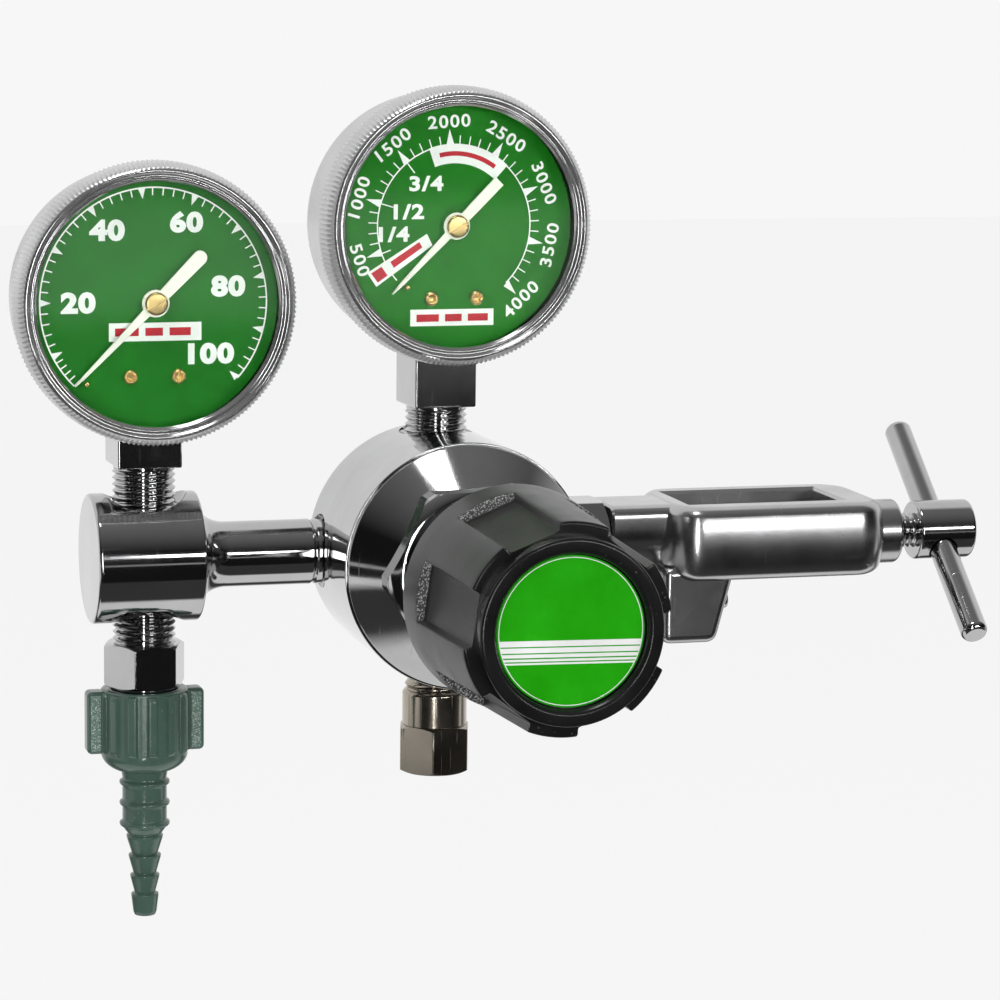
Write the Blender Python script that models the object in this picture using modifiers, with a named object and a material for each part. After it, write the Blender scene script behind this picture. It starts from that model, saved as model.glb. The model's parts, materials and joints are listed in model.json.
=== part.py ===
"""Oxygen regulator for a small cylinder with a pin-index post valve.

World frame: +X runs from the outlet towards the yoke, -Y is the front with the adjusting knob, +Z is up.
The origin is the centre of the inlet nipple's end face, on the axis of the clamp screw.
"""

import math

import bmesh
import bpy
from mathutils import Matrix

mm = 0.001
CLEARANCE = 0.3 * mm          # gap between pieces that touch or are screwed together
MERGE = 0.00001               # merge distance for turned shapes
CUT_OVER = 2.0 * mm           # how far a cutter runs past the face that it cuts

# Segments of round shapes, and points on one turn of a spring
LARGE_SEGMENTS = 32
MEDIUM_SEGMENTS = 20
SMALL_SEGMENTS = 12
TINY_SEGMENTS = 8
PORT_SEGMENTS = 16
KNOB_SEGMENTS = 36
BARB_SEGMENTS = 12
MAIN_SPRING_POINTS = 10
SMALL_SPRING_POINTS = 8
HEX_LAP = 1.0 * mm            # how far a turned piece and its hexagon run into each other
HEX_TRIM_DROP = 0.7           # chamfer's height as a share of corner less flat
HEX_TRIM_STEP = 0.2 * mm
HEX_TRIM_OVER = 0.1 * mm

# Regulator body: "depth" is measured from the plane of the ports towards the front
BODY_RADIUS = 26.9 * mm
BODY_FRONT = 27.0 * mm
BODY_BACK = -12.0 * mm
BODY_BACK_CHAMFER = 4.3 * mm
BODY_CHAMFER_MIDDLE = 0.35    # the rounded chamfer's middle point, as a share of it
BODY_RIM = 0.4 * mm
BODY_WALL = 2.7 * mm
SPOT_FACE_RADIUS = 9.3 * mm
SPOT_FACE_DEPTH = 2.2 * mm
PORT_FACE = BODY_RADIUS - SPOT_FACE_DEPTH
PIPE_RADIUS = 6.85 * mm       # 1/4 inch pipe thread, 13.7 mm over its crests
PIPE_DEPTH = 8.0 * mm
PASSAGE_RADIUS = 2.0 * mm
CHAMBER_WALL = 8.9 * mm
CHAMBER_RADIUS = BODY_RADIUS - CHAMBER_WALL
CHAMBER_FLOOR = 8.0 * mm
CHAMBER_PORT_RADIUS = 1.6 * mm
CHAMBER_PORT_OFFSET = CHAMBER_RADIUS - 2 * PASSAGE_RADIUS
VALVE_BORE_RADIUS = 5.3 * mm
VALVE_BORE_FLOOR = -8.0 * mm

# Bonnet
SPIGOT_RADIUS = BODY_RADIUS - BODY_WALL
DIAPHRAGM_SEAT = 11.0 * mm
DIAPHRAGM_THICKNESS = 1.2 * mm
SLIP_RING_THICKNESS = 0.9 * mm
SLIP_RING_WIDTH = 4.7 * mm
SLIP_RING_INNER = SPIGOT_RADIUS - SLIP_RING_WIDTH
CONE_STEP = 0.5 * mm
CONE_RADIUS = BODY_RADIUS - CONE_STEP
CONE_RIM = 0.4 * mm
HEX_FLATS = 36.7 * mm
HEX_FRONT = 40.5 * mm
HEX_SINK = 1.5 * mm
HEX_CORNER = 20.5 * mm
HEX_CHAMFER = 1.6 * mm
HEX_TURN = math.radians(33.5)
TOWER_RADIUS = 17.4 * mm
TOWER_BORE = 14.0 * mm
TOWER_FRONT = 63.0 * mm
TOWER_WALL = 7.0 * mm
TOWER_CHAMFER = 2.5 * mm
BONNET_CAVITY_REAR = 3.0 * mm
BONNET_CAVITY_FRONT = 2.5 * mm

# Adjusting knob, screw, button and main spring
KNOB_REAR = 60.0 * mm
KNOB_FRONT = 104.0 * mm
KNOB_REAR_RADIUS = 23.1 * mm
KNOB_FRONT_RADIUS = 21.5 * mm
KNOB_RING_RADIUS = 18.8 * mm
KNOB_RING_HEIGHT = 3.2 * mm
KNOB_RECESS_DEPTH = 2.6 * mm
KNOB_CAVITY_FLOOR = 73.0 * mm
KNOB_LOBES = 6
KNOB_TURN = math.radians(22.0)
FLUTE_HALF_WIDTH = 6.1 * mm
FLUTE_DEPTH = 2.4 * mm
FLUTE_REAR = 70.0 * mm
FLUTE_STEP = 0.15 * mm
KNOB_REAR_ROUND = 1.2 * mm
KNOB_EDGE = 0.6 * mm
KNOB_FACE_WALL = 3.0 * mm
KNOB_GAP = 1.2 * mm
LABEL_RADIUS = 15.1 * mm
LABEL_THICKNESS = 0.5 * mm
SCREW_RADIUS = 5.0 * mm
SCREW_REAR = 50.3 * mm
SCREW_POINT = 1.5 * mm
BUTTON_RADIUS = 12.6 * mm
BUTTON_THICKNESS = 3.6 * mm
SPRING_GUIDE_RADIUS = 8.0 * mm
SPRING_GUIDE_HEIGHT = 2.2 * mm
PLATE_RADIUS = 15.0 * mm
PLATE_THICKNESS = 3.0 * mm
MAIN_SPRING_RADIUS = 10.4 * mm
MAIN_SPRING_WIRE = 1.3 * mm
MAIN_SPRING_TURNS = 6

# High-pressure valve
NOZZLE_RADIUS = 5.0 * mm
NOZZLE_BORE = 1.4 * mm
NOZZLE_REAR = 1.0 * mm
NOZZLE_HEX_FLATS = 11.0 * mm
NOZZLE_HEX_HEIGHT = 2.0 * mm
POPPET_RADIUS = 2.6 * mm
POPPET_LENGTH = 2.3 * mm
POPPET_STEM = 0.8 * mm
POPPET_SEAT_RADIUS = 1.56 * mm
POPPET_CONE = 0.8 * mm
POPPET_SPRING_WIRE = 0.35 * mm
POPPET_SPRING_TURNS = 4

# Outlet side, left of the body
OUTLET_REACH = 40.45 * mm
OUTLET_X = -(PORT_FACE + OUTLET_REACH)
MANIFOLD_RADIUS = 14.15 * mm
MANIFOLD_LEFT_REACH = 12.05 * mm
MANIFOLD_LEFT = OUTLET_X - MANIFOLD_LEFT_REACH
MANIFOLD_RIGHT_REACH = 11.25 * mm
MANIFOLD_RIGHT = OUTLET_X + MANIFOLD_RIGHT_REACH
MANIFOLD_EDGE = 0.9 * mm
MANIFOLD_SPOT_RADIUS = 8.8 * mm
MANIFOLD_SPOT_DEPTH = 3.6 * mm
ARM_RADIUS = 7.15 * mm
ARM_FLARE_LENGTH = 6.5 * mm
ARM_FLARE_END = MANIFOLD_RIGHT + ARM_FLARE_LENGTH
ARM_FLARE_RADIUS = 0.9 * MANIFOLD_RADIUS
ARM_FLARE_STEPS = 5
ARM_SHOULDER = 3.2 * mm
ARM_GROOVE = 0.5 * mm
CROSS_BORE_RADIUS = 2.6 * mm
NIPPLE_HEX_FLATS = 15.9 * mm
NIPPLE_HEX_GAP = 4.35 * mm
NIPPLE_HEX_TOP = -(MANIFOLD_RADIUS + NIPPLE_HEX_GAP)
NIPPLE_HEX_HEIGHT = 9.6 * mm
NIPPLE_HEX_BOTTOM = NIPPLE_HEX_TOP - NIPPLE_HEX_HEIGHT
NIPPLE_HEX_TURN = math.radians(-22.4)
NIPPLE_BORE = 3.4 * mm
NIPPLE_THREAD = 9.9 * mm
NIPPLE_END = NIPPLE_HEX_BOTTOM - NIPPLE_THREAD
NIPPLE_SEAT = 1.0 * mm
NUT_TOP = NIPPLE_HEX_BOTTOM - 2 * CLEARANCE
NUT_STRAIGHT = 14.1 * mm
NUT_STRAIGHT_END = NUT_TOP - NUT_STRAIGHT
NUT_DOME = 4.0 * mm
NUT_BOTTOM = NUT_STRAIGHT_END - NUT_DOME
NUT_WEB = 3.4 * mm
NUT_FLOOR = NUT_BOTTOM + NUT_WEB
NUT_RIM = 0.8 * mm
NUT_LEAD_IN = 0.4 * mm
DOME_LAP = 0.4 * mm
DOME_START = 1.0 * mm
DOME_STEP = 0.2 * mm
NUT_RADIUS = 10.3 * mm
NUT_VALLEY = 9.5 * mm
NUT_RIBS = 14
RIB_FOOT = 0.30               # half widths of a rib, as shares of one rib's turn
RIB_CREST = 0.16
NUT_TURN = math.radians(13.0)
WING_REACH = 12.9 * mm
WING_THICKNESS = 5.0 * mm
WING_ROUND = 1.0 * mm
WING_DROP = 0.3 * mm
WING_ROUND_ANGLE = math.radians(40)
NUT_BORE = 7.3 * mm
BARB_NECK_RADIUS = 5.2 * mm
BARB_TUBE_RADIUS = 4.86 * mm
BARB_BEAD_RADIUS = 5.5 * mm
BARB_BEAD_HEIGHT = 1.4 * mm
BARB_BEAD_FLAT = 0.4          # share of a bead's height that is flat
BARB_BEADS = 3
BARB_FIRST_BEAD = 2.9 * mm
BARB_BEAD_STEP = 4.6 * mm
# Each tooth's top below the nut, and its radius
BARB_TEETH = ((14.8 * mm, 4.0 * mm), (19.2 * mm, 3.55 * mm), (23.7 * mm, 3.2 * mm), (28.0 * mm, 3.0 * mm))
BARB_NECK_CONE = 1.6 * mm
BARB_TOOTH_LAND = 0.4 * mm
BARB_TOOTH_GAP = 0.2 * mm
BARB_ROOT_RISE = 0.5 * mm
BARB_ROOT_STEP = 0.3 * mm
BARB_END_LAND = 0.6 * mm
BARB_END_CHAMFER = 0.3 * mm
BARB_TOOTH_WAIST = 0.75 * mm
BARB_LENGTH = 32.8 * mm
BARB_END = NUT_BOTTOM - BARB_LENGTH
BARB_END_RADIUS = 2.56 * mm
BARB_BORE = 1.3 * mm
BARB_COLLAR = 6.4 * mm
BARB_TAIL_RADIUS = 3.0 * mm
BARB_TAIL_LENGTH = 5.0 * mm
BARB_TAIL_TOP = NIPPLE_END + BARB_TAIL_LENGTH

# Relief valve, under the body
RELIEF_X = 0.35 * mm
RELIEF_SHANK = 6.5 * mm
RELIEF_NECK = 7.2 * mm
RELIEF_SHOULDER = -(PORT_FACE + RELIEF_NECK)
RELIEF_RADIUS = 7.2 * mm
RELIEF_BARREL = 7.8 * mm
RELIEF_HEX_TOP = RELIEF_SHOULDER - RELIEF_BARREL
RELIEF_HEX_FLATS = 15.0 * mm
RELIEF_HEX_TURN = math.radians(-16.0)
RELIEF_HEX_HEIGHT = 10.7 * mm
RELIEF_END = RELIEF_HEX_TOP - RELIEF_HEX_HEIGHT
RELIEF_LIP = 0.5 * mm
RELIEF_HEX_STEP = 0.4 * mm
RELIEF_STEP = 0.3 * mm
RELIEF_INNER_STEP = 0.6 * mm
RELIEF_INLET = 1.5 * mm
RELIEF_BORE = 5.0 * mm
RELIEF_SEAT_DEPTH = 3.1 * mm
RELIEF_SEAT = RELIEF_SHOULDER - RELIEF_SEAT_DEPTH
RELIEF_POPPET_GAP = 0.8 * mm
RELIEF_POPPET_LENGTH = 3.2 * mm
RELIEF_PLUG_DEPTH = 3.6 * mm
RELIEF_PLUG_RECESS = 0.8 * mm
RELIEF_PLUG_VENT = 1.3 * mm
RELIEF_SLOT_HALF = 0.5 * mm
RELIEF_SLOT_DEPTH = 0.8 * mm
RELIEF_SPRING_GAP = 1.8 * mm
RELIEF_SPRING_WIRE = 0.5 * mm
RELIEF_SPRING_TURNS = 5

# Inlet stem and yoke, right of the body
STEM_HEX_FLATS = 19.1 * mm
STEM_HEX_GAP = 3.3 * mm
STEM_HEX_START = PORT_FACE + STEM_HEX_GAP
STEM_HEX_LENGTH = 10.5 * mm
NECK_START = STEM_HEX_START + STEM_HEX_LENGTH
NECK_HALF_WIDTH = 9.2 * mm
NECK_DROP = 0.1 * mm
NECK_FLOOR_SHARE = 0.5
NECK_LAP = 3.0 * mm
NECK_LENGTH = 12.0 * mm
YOKE_START = NECK_START + NECK_LENGTH
YOKE_LAP = 2.0 * mm
YOKE_HALF_WIDTH = 17.3 * mm
YOKE_TOP = 9.2 * mm
YOKE_BOTTOM = -7.5 * mm
# Points of the rounded shoulder: along the yoke, and in from its side
YOKE_SHOULDER = ((0.0 * mm, 7.5 * mm), (1.0 * mm, 4.5 * mm), (2.2 * mm, 1.0 * mm), (4.0 * mm, 0.0 * mm))
YOKE_LENGTH = 52.5 * mm
YOKE_END = YOKE_START + YOKE_LENGTH
YOKE_CORNER_LENGTH = 8.5 * mm
YOKE_CORNER_START = YOKE_END - YOKE_CORNER_LENGTH
YOKE_CORNER_STEPS = 5
YOKE_ROUND_ANGLE = math.radians(60)
YOKE_EDGE_ROUND = 1.6 * mm
YOKE_HEEL = 5.8 * mm
WINDOW_START = YOKE_START + YOKE_HEEL
YOKE_NOSE = 10.2 * mm
WINDOW_END = YOKE_END - YOKE_NOSE
WINDOW_HALF_WIDTH = 9.7 * mm
SEAT_DEPTH = 5.2 * mm
SEAT_X = WINDOW_START + SEAT_DEPTH
SEAT_STEP = 0.4 * mm
SEAT_LEDGE = 0.3 * mm
SEAT_LAP = 0.5 * mm
SEAT_TOP = 3.5 * mm
CHEEK_HALF_WIDTH = 13.0 * mm
TAB_OVERHANG = 0.5 * mm
TAB_START = YOKE_START - TAB_OVERHANG
TAB_LAP = 3.0 * mm
TAB_ROUND = 0.8 * mm
TAB_BOTTOM = -21.9 * mm
CHEEK_TOP_REACH = 5.3 * mm
CHEEK_TOP_X = SEAT_X + CHEEK_TOP_REACH
CHEEK_BOTTOM_REACH = 0.7 * mm
CHEEK_BOTTOM_X = SEAT_X + CHEEK_BOTTOM_REACH
BOSS_RADIUS = 7.35 * mm
BOSS_LENGTH = 6.2 * mm
BOSS_END = YOKE_END + BOSS_LENGTH
BOSS_LAP = 3.0 * mm
BOSS_EDGE = 0.5 * mm

# Inlet nipple, filter, washer and index pins; pin circle of the oxygen index
NIPPLE_RADIUS = 3.15 * mm
NIPPLE_REACH = 5.8 * mm
NIPPLE_ROOT = 12.0 * mm
INLET_BORE = 1.2 * mm
NIPPLE_TIP_STEP = 0.4 * mm
NIPPLE_TIP_CHAMFER = 0.6 * mm
FILTER_RADIUS = 1.8 * mm
FILTER_THICKNESS = 1.2 * mm
WASHER_RADIUS = 5.7 * mm
WASHER_THICKNESS = 2.4 * mm
PIN_RADIUS = 2.0 * mm
PIN_CIRCLE = 14.29 * mm
PIN_ANGLE = math.radians(18.0)
PIN_REACH = 5.8 * mm
PIN_ROOT = 6.0 * mm
PIN_CHAMFER = 0.7 * mm
NIPPLE_TIP_X = SEAT_X + NIPPLE_REACH

# Clamp screw
CLAMP_RADIUS = 4.0 * mm
CLAMP_TIP_FLAT = 1.6 * mm
CLAMP_TIP_REACH = 5.2 * mm
CLAMP_TIP_X = WINDOW_END - CLAMP_TIP_REACH
CLAMP_TIP_CONE = 1.8 * mm
RING_SETBACK = 2.1 * mm
RING_X = CLAMP_TIP_X + RING_SETBACK
RING_THICKNESS = 0.6 * mm
RING_GROOVE_DEPTH = 0.8 * mm
RING_RADIUS = 5.6 * mm
HEAD_GAP = 4.6 * mm
HEAD_START = BOSS_END + HEAD_GAP
HEAD_LENGTH = 13.6 * mm
HEAD_END = HEAD_START + HEAD_LENGTH
HEAD_RADIUS = 6.75 * mm
HEAD_CHAMFER = 0.8 * mm
BAR_SETBACK = 5.9 * mm
BAR_X = HEAD_START + BAR_SETBACK
BAR_RADIUS = 3.1 * mm
BAR_LENGTH = 64.0 * mm
BAR_CHAMFER = 0.8 * mm
BAR_TILT = math.radians(39.3)

# Gauges: "z" of a gauge is measured from its stem's axis towards its glass
CASE_RADIUS = 28.0 * mm
GAUGE_RISE = {"outlet": 14.15 * mm, "contents": 19.3 * mm}
STEM_FLOOR_STEP = 0.15 * mm
GAUGES = {
    "outlet": {
        "x": OUTLET_X, "height": MANIFOLD_RADIUS + GAUGE_RISE["outlet"] + CASE_RADIUS,
        "turn": math.radians(1.3),
        "block_drop": 8.1 * mm, "stem_floor": MANIFOLD_RADIUS - MANIFOLD_SPOT_DEPTH + STEM_FLOOR_STEP,
        "tip_gap": 3.6 * mm, "tail": 14.5 * mm, "stop_gap": 5.7 * mm,
    },
    "contents": {
        "x": 0.0, "height": PORT_FACE + GAUGE_RISE["contents"] + CASE_RADIUS, "turn": math.radians(3.4),
        "block_drop": 12.2 * mm, "stem_floor": PORT_FACE,
        "tip_gap": 7.6 * mm, "tail": 13.4 * mm, "stop_gap": 11.0 * mm,
    },
}
BEZEL_OVERHANG = 2.1 * mm
BEZEL_RADIUS = CASE_RADIUS + BEZEL_OVERHANG
BEZEL_DEPTH = 8.5 * mm
BEZEL_LIP = 1.2 * mm
BEZEL_EDGE = 0.5 * mm
BEZEL_CHAMFER = 1.2 * mm
GLASS_REBATE = 2.1 * mm
GLASS_RADIUS = CASE_RADIUS - GLASS_REBATE
GLASS_FRONT = 15.8 * mm
CRYSTAL_THICKNESS = 1.6 * mm
CASE_BACK = -8.5 * mm
CASE_WALL = 0.8 * mm
CASE_ROUND = 4.0 * mm
CASE_ROUND_MIDDLE = 0.3       # the rounding's middle point, as a share of it
CASE_SLOT_DEPTH = 6.0 * mm
DIAL_GAP = 0.4 * mm
DIAL_RADIUS = CASE_RADIUS - CASE_WALL - DIAL_GAP
DIAL_FRONT = 10.8 * mm
DIAL_THICKNESS = 0.6 * mm
BLOCK_HALF = 7.02 * mm
BLOCK_SINK = 4.0 * mm
BLOCK_TOP = BLOCK_SINK - CASE_RADIUS
POST_HALF = 6.3 * mm
POST_TOP = -14.0 * mm
POST_BACK = -6.5 * mm
POST_FRONT = 2.0 * mm
POST_LAP = 1.0 * mm
STEM_BORE = 1.5 * mm
STEM_BORE_STOP = 5.0 * mm
STEM_BORE_END = POST_TOP - STEM_BORE_STOP
DIAL_SCREW_X = 5.15 * mm
DIAL_SCREW_Y = -15.7 * mm
DIAL_SCREW_HEAD = 1.3 * mm
DIAL_SCREW_SHANK = 0.6 * mm
DIAL_SCREW_HEIGHT = 0.8 * mm
DIAL_SCREW_EDGE = 0.3 * mm
DIAL_SCREW_STRAIGHT = 0.4 * mm
DIAL_SCREW_LENGTH = 4.0 * mm
DIAL_SCREW_HOLE = 4.5 * mm
DIAL_SCREW_SLOT = 0.2 * mm
DIAL_SCREW_SLOT_FLOOR = 0.45 * mm
DIAL_SCREW_TURN = 0.4
PILLAR_RADIUS = 1.3 * mm
ZERO_ANGLE = math.radians(225.0)
POINTER_BACK = 12.3 * mm
POINTER_THICKNESS = 0.5 * mm
POINTER_TIP_HALF = 0.3 * mm
POINTER_TIP_LENGTH = 1.0 * mm
POINTER_TAIL_HALF = 1.5 * mm
POINTER_RIM = 0.3 * mm
POINTER_ARC = math.radians(30)
POINTER_ARC_STEPS = 4
ARBOR_RADIUS = 0.7 * mm
ARBOR_CAP_RADIUS = 2.9 * mm
ARBOR_CAP_HEIGHT = 0.9 * mm
ARBOR_CAP_EDGE = 0.3 * mm
ARBOR_SLOT_HALF = 0.25 * mm
ARBOR_SLOT_DEPTH = 0.5 * mm
ARBOR_SLOT_TURN = math.radians(30)
DIAL_HOLE_GAP = 0.8 * mm
PINION_RADIUS = 1.5 * mm
PINION_OVER = 0.2 * mm
SECTOR_RADIUS = 6.4 * mm
SECTOR_BACK = 3.0 * mm
SECTOR_THICKNESS = 0.9 * mm
SECTOR_TAIL = 4.2 * mm
SECTOR_TAIL_END = 0.8 * mm
SECTOR_TAIL_HALF = 0.9 * mm
SECTOR_NECK_HALF = 1.2 * mm
SECTOR_NECK = 0.8 * mm
SECTOR_SPARE = math.radians(14)
SECTOR_STEPS = 8
SECTOR_SWING = math.radians(60.4)
SECTOR_PIVOT_Y = -(PINION_RADIUS + SECTOR_RADIUS + CLEARANCE)
FRAME_HALF_WIDTH = 6.0 * mm
FRAME_TOP = 4.0 * mm
FRAME_BACK = 0.9 * mm
FRAME_FRONT = 8.2 * mm
FRAME_PLATE = 0.8 * mm
FRAME_PLATE_MARGIN = 2.5 * mm
FRAME_PILLAR_RADIUS = 0.9 * mm
FRAME_PILLAR_SINK = 0.3 * mm
FRAME_PILLAR_INSET = 1.2 * mm
FRAME_PILLAR_DROP = 1.3 * mm
TUBE_GAP = 8.0 * mm
TUBE_RADIUS = CASE_RADIUS - TUBE_GAP
TUBE_THICKNESS = 3.0 * mm
TUBE_WIDTH = 7.0 * mm
TUBE_WALL = 0.4 * mm
TUBE_FRONT = 3.9 * mm
TUBE_STEPS = 14
TUBE_ROUNDING = 0.7            # height of the oval's flat sides, as a share of its half width
TUBE_ROOT_SPARE = math.radians(1)
LINK_BACK = 4.2 * mm
LINK_THICKNESS = 0.6 * mm
LINK_HALF_WIDTH = 0.8 * mm
LINK_SECTOR_LAP = 1.0 * mm
LINK_TUBE_LAP = 0.8 * mm
STOP_PIN_RADIUS = 0.5 * mm
STOP_PIN_HEIGHT = 2.0 * mm
STOP_PIN_GAP = 1.0 * mm

# Colour, metallic, roughness
MATERIALS = {
    "chrome": ((0.80, 0.80, 0.81), 1.0, 0.08),
    "nickel": ((0.66, 0.63, 0.58), 1.0, 0.18),
    "steel": ((0.55, 0.56, 0.58), 1.0, 0.25),
    "brass": ((0.78, 0.60, 0.28), 1.0, 0.25),
    "black_plastic": ((0.02, 0.02, 0.02), 0.0, 0.35),
    "green_plastic": ((0.045, 0.115, 0.085), 0.0, 0.35),
    "label_green": ((0.05, 0.42, 0.02), 0.0, 0.30),
    "dial_green": ((0.01, 0.16, 0.04), 0.0, 0.45),
    "pointer_white": ((0.85, 0.85, 0.80), 0.0, 0.40),
    "glass": ((0.90, 0.95, 0.92), 0.0, 0.02),
    "rubber": ((0.03, 0.03, 0.03), 0.0, 0.70),
    "bronze": ((0.45, 0.30, 0.16), 1.0, 0.60),
}

SMOOTH_ANGLE = math.radians(35)


def clear_scene():
    for obj in list(bpy.data.objects):
        bpy.data.objects.remove(obj, do_unlink=True)


def new_collection(name):
    collection = bpy.data.collections.new(name)
    bpy.context.scene.collection.children.link(collection)
    return collection


clear_scene()
PARTS = new_collection("oxygen_regulator")
CUTTERS = new_collection("cutters")


def material(name):
    found = bpy.data.materials.get(name)
    if found:
        return found
    colour, metallic, roughness = MATERIALS[name]
    made = bpy.data.materials.new(name)
    made.use_nodes = True
    shader = made.node_tree.nodes["Principled BSDF"]
    shader.inputs["Base Color"].default_value = (*colour, 1.0)
    shader.inputs["Metallic"].default_value = metallic
    shader.inputs["Roughness"].default_value = roughness
    if name == "glass":
        shader.inputs["Transmission Weight"].default_value = 1.0
    return made


def empty(name, parent=None, location=(0, 0, 0), rotation=(0, 0, 0)):
    obj = bpy.data.objects.new(name, None)
    PARTS.objects.link(obj)
    obj.parent = parent
    obj.location = location
    obj.rotation_euler = rotation
    return obj


# Reference frames: the body's centre, and turned frames whose +Z runs along a piece's own axis
QUARTER = math.pi / 2
BODY_CENTRE = empty("body_centre", location=(-NIPPLE_TIP_X, 0, 0))
FRONT_AXIS = empty("front_axis", BODY_CENTRE, rotation=(QUARTER, 0, 0))
CLAMP_AXIS = empty("clamp_axis", BODY_CENTRE, rotation=(0, QUARTER, 0))
OUTLET_AXIS = empty("outlet_axis", BODY_CENTRE, location=(OUTLET_X, 0, 0))
RELIEF_AXIS = empty("relief_axis", BODY_CENTRE, location=(RELIEF_X, 0, 0))


def add_object(name, mesh, frame, slot, location=(0, 0, 0), rotation=(0, 0, 0)):
    """A part when it has a material slot, and a cutter when it has none."""
    obj = bpy.data.objects.new(name, mesh)
    obj.parent = frame
    obj.location = location
    obj.rotation_euler = rotation
    if slot:
        PARTS.objects.link(obj)
        mesh.materials.append(material(slot))
    else:
        CUTTERS.objects.link(obj)
        obj.hide_render = True
        obj.display_type = "WIRE"
    return obj


def turned(name, profile, frame, slot=None, segments=MEDIUM_SEGMENTS, closed=False, **place):
    """A turned piece: (radius, height) points down the outer side, top to bottom."""
    mesh = bpy.data.meshes.new(name)
    points = [(radius, 0.0, height) for radius, height in profile]
    edges = [(i, i + 1) for i in range(len(points) - 1)]
    if closed:
        edges.append((len(points) - 1, 0))
    mesh.from_pydata(points, edges, [])
    obj = add_object(name, mesh, frame, slot, **place)
    screw = obj.modifiers.new("turn", "SCREW")
    screw.steps = segments
    screw.render_steps = segments
    screw.use_merge_vertices = True
    screw.merge_threshold = MERGE
    return obj


def from_bmesh(name, shape, frame, slot=None, **place):
    mesh = bpy.data.meshes.new(name)
    shape.to_mesh(mesh)
    shape.free()
    return add_object(name, mesh, frame, slot, **place)


def prism(name, radius, bottom, top, sides, frame, slot=None, turn=0.0, **place):
    """A cylinder or a regular prism with its axis on the frame's Z."""
    shape = bmesh.new()
    matrix = Matrix.Translation((0, 0, (bottom + top) / 2)) @ Matrix.Rotation(turn, 4, "Z")
    bmesh.ops.create_cone(shape, cap_ends=True, segments=sides, radius1=radius, radius2=radius,
                          depth=top - bottom, matrix=matrix)
    return from_bmesh(name, shape, frame, slot, **place)


def hexagon(name, across_flats, bottom, top, frame, slot=None, turn=0.0):
    return prism(name, across_flats / math.sqrt(3), bottom, top, 6, frame, slot, turn)


def box(name, low, high, frame, slot=None, **place):
    size = [b - a for a, b in zip(low, high)]
    centre = [(a + b) / 2 for a, b in zip(low, high)]
    shape = bmesh.new()
    bmesh.ops.create_cube(shape, size=1.0, matrix=Matrix.Translation(centre) @ Matrix.Diagonal((*size, 1.0)))
    return from_bmesh(name, shape, frame, slot, **place)


def slab(name, outline, bottom, top, frame, slot=None, **place):
    """A flat outline in the frame's XY plane, extruded along Z."""
    shape = bmesh.new()
    face = shape.faces.new([shape.verts.new((x, y, bottom)) for x, y in outline])
    if face.normal.z > 0:
        face.normal_flip()
    face.normal_update()
    if face.normal.z > 0:
        face.normal_flip()
    raised = bmesh.ops.extrude_face_region(shape, geom=[face])
    moved = [v for v in raised["geom"] if isinstance(v, bmesh.types.BMVert)]
    bmesh.ops.translate(shape, verts=moved, vec=(0, 0, top - bottom))
    bmesh.ops.recalc_face_normals(shape, faces=shape.faces)
    return from_bmesh(name, shape, frame, slot, **place)


def arc(centre, radius, start, end, steps):
    """Points on an arc from one angle to another, both ends included."""
    step = (end - start) / steps
    return [(centre[0] + radius * math.cos(start + i * step), centre[1] + radius * math.sin(start + i * step))
            for i in range(steps + 1)]


def combine(obj, tool, operation):
    boolean = obj.modifiers.new(tool.name, "BOOLEAN")
    boolean.operation = operation
    boolean.object = tool
    return obj


def cut(obj, tool):
    return combine(obj, tool, "DIFFERENCE")


def join(obj, tool):
    return combine(obj, tool, "UNION")


def keep_inside(obj, tool):
    return combine(obj, tool, "INTERSECT")


def round_edges(obj, width, segments, angle):
    bevel = obj.modifiers.new("round_edges", "BEVEL")
    bevel.width = width
    bevel.segments = segments
    bevel.limit_method = "ANGLE"
    bevel.angle_limit = angle


def coil(name, radius, wire, bottom, top, turns, frame, slot, points_per_turn, sides):
    """A helix of round wire between two heights; its section has 4 corners for sides 0 and 6 for sides 1."""
    low = bottom + wire
    high = top - wire
    count = turns * points_per_turn
    curve = bpy.data.curves.new(name, "CURVE")
    curve.dimensions = "3D"
    curve.bevel_depth = wire
    curve.bevel_resolution = sides
    curve.render_resolution_u = 0
    curve.use_fill_caps = True
    spline = curve.splines.new("POLY")
    spline.points.add(count)
    for i, point in enumerate(spline.points):
        angle = 2 * math.pi * i / points_per_turn
        height = low + (high - low) * i / count
        point.co = (radius * math.cos(angle), radius * math.sin(angle), height, 1.0)
    obj = bpy.data.objects.new(name, curve)
    PARTS.objects.link(obj)
    obj.parent = frame
    curve.materials.append(material(slot))
    return obj


# Body, bonnet and diaphragm

def port_cutter(name, frame, spot_radius, surface, spot_depth, passage_end, rotation):
    """Spot face, threaded hole and passage of one port, along the frame's +Z after the rotation."""
    spot = surface - spot_depth
    floor = spot - PIPE_DEPTH - 2 * CLEARANCE
    hole = PIPE_RADIUS + CLEARANCE
    profile = [(0, surface + CUT_OVER), (spot_radius, surface + CUT_OVER), (spot_radius, spot), (hole, spot),
               (hole, floor), (PASSAGE_RADIUS, floor), (PASSAGE_RADIUS, passage_end), (0, passage_end)]
    return turned(name, profile, frame, segments=PORT_SEGMENTS, rotation=rotation)


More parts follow.
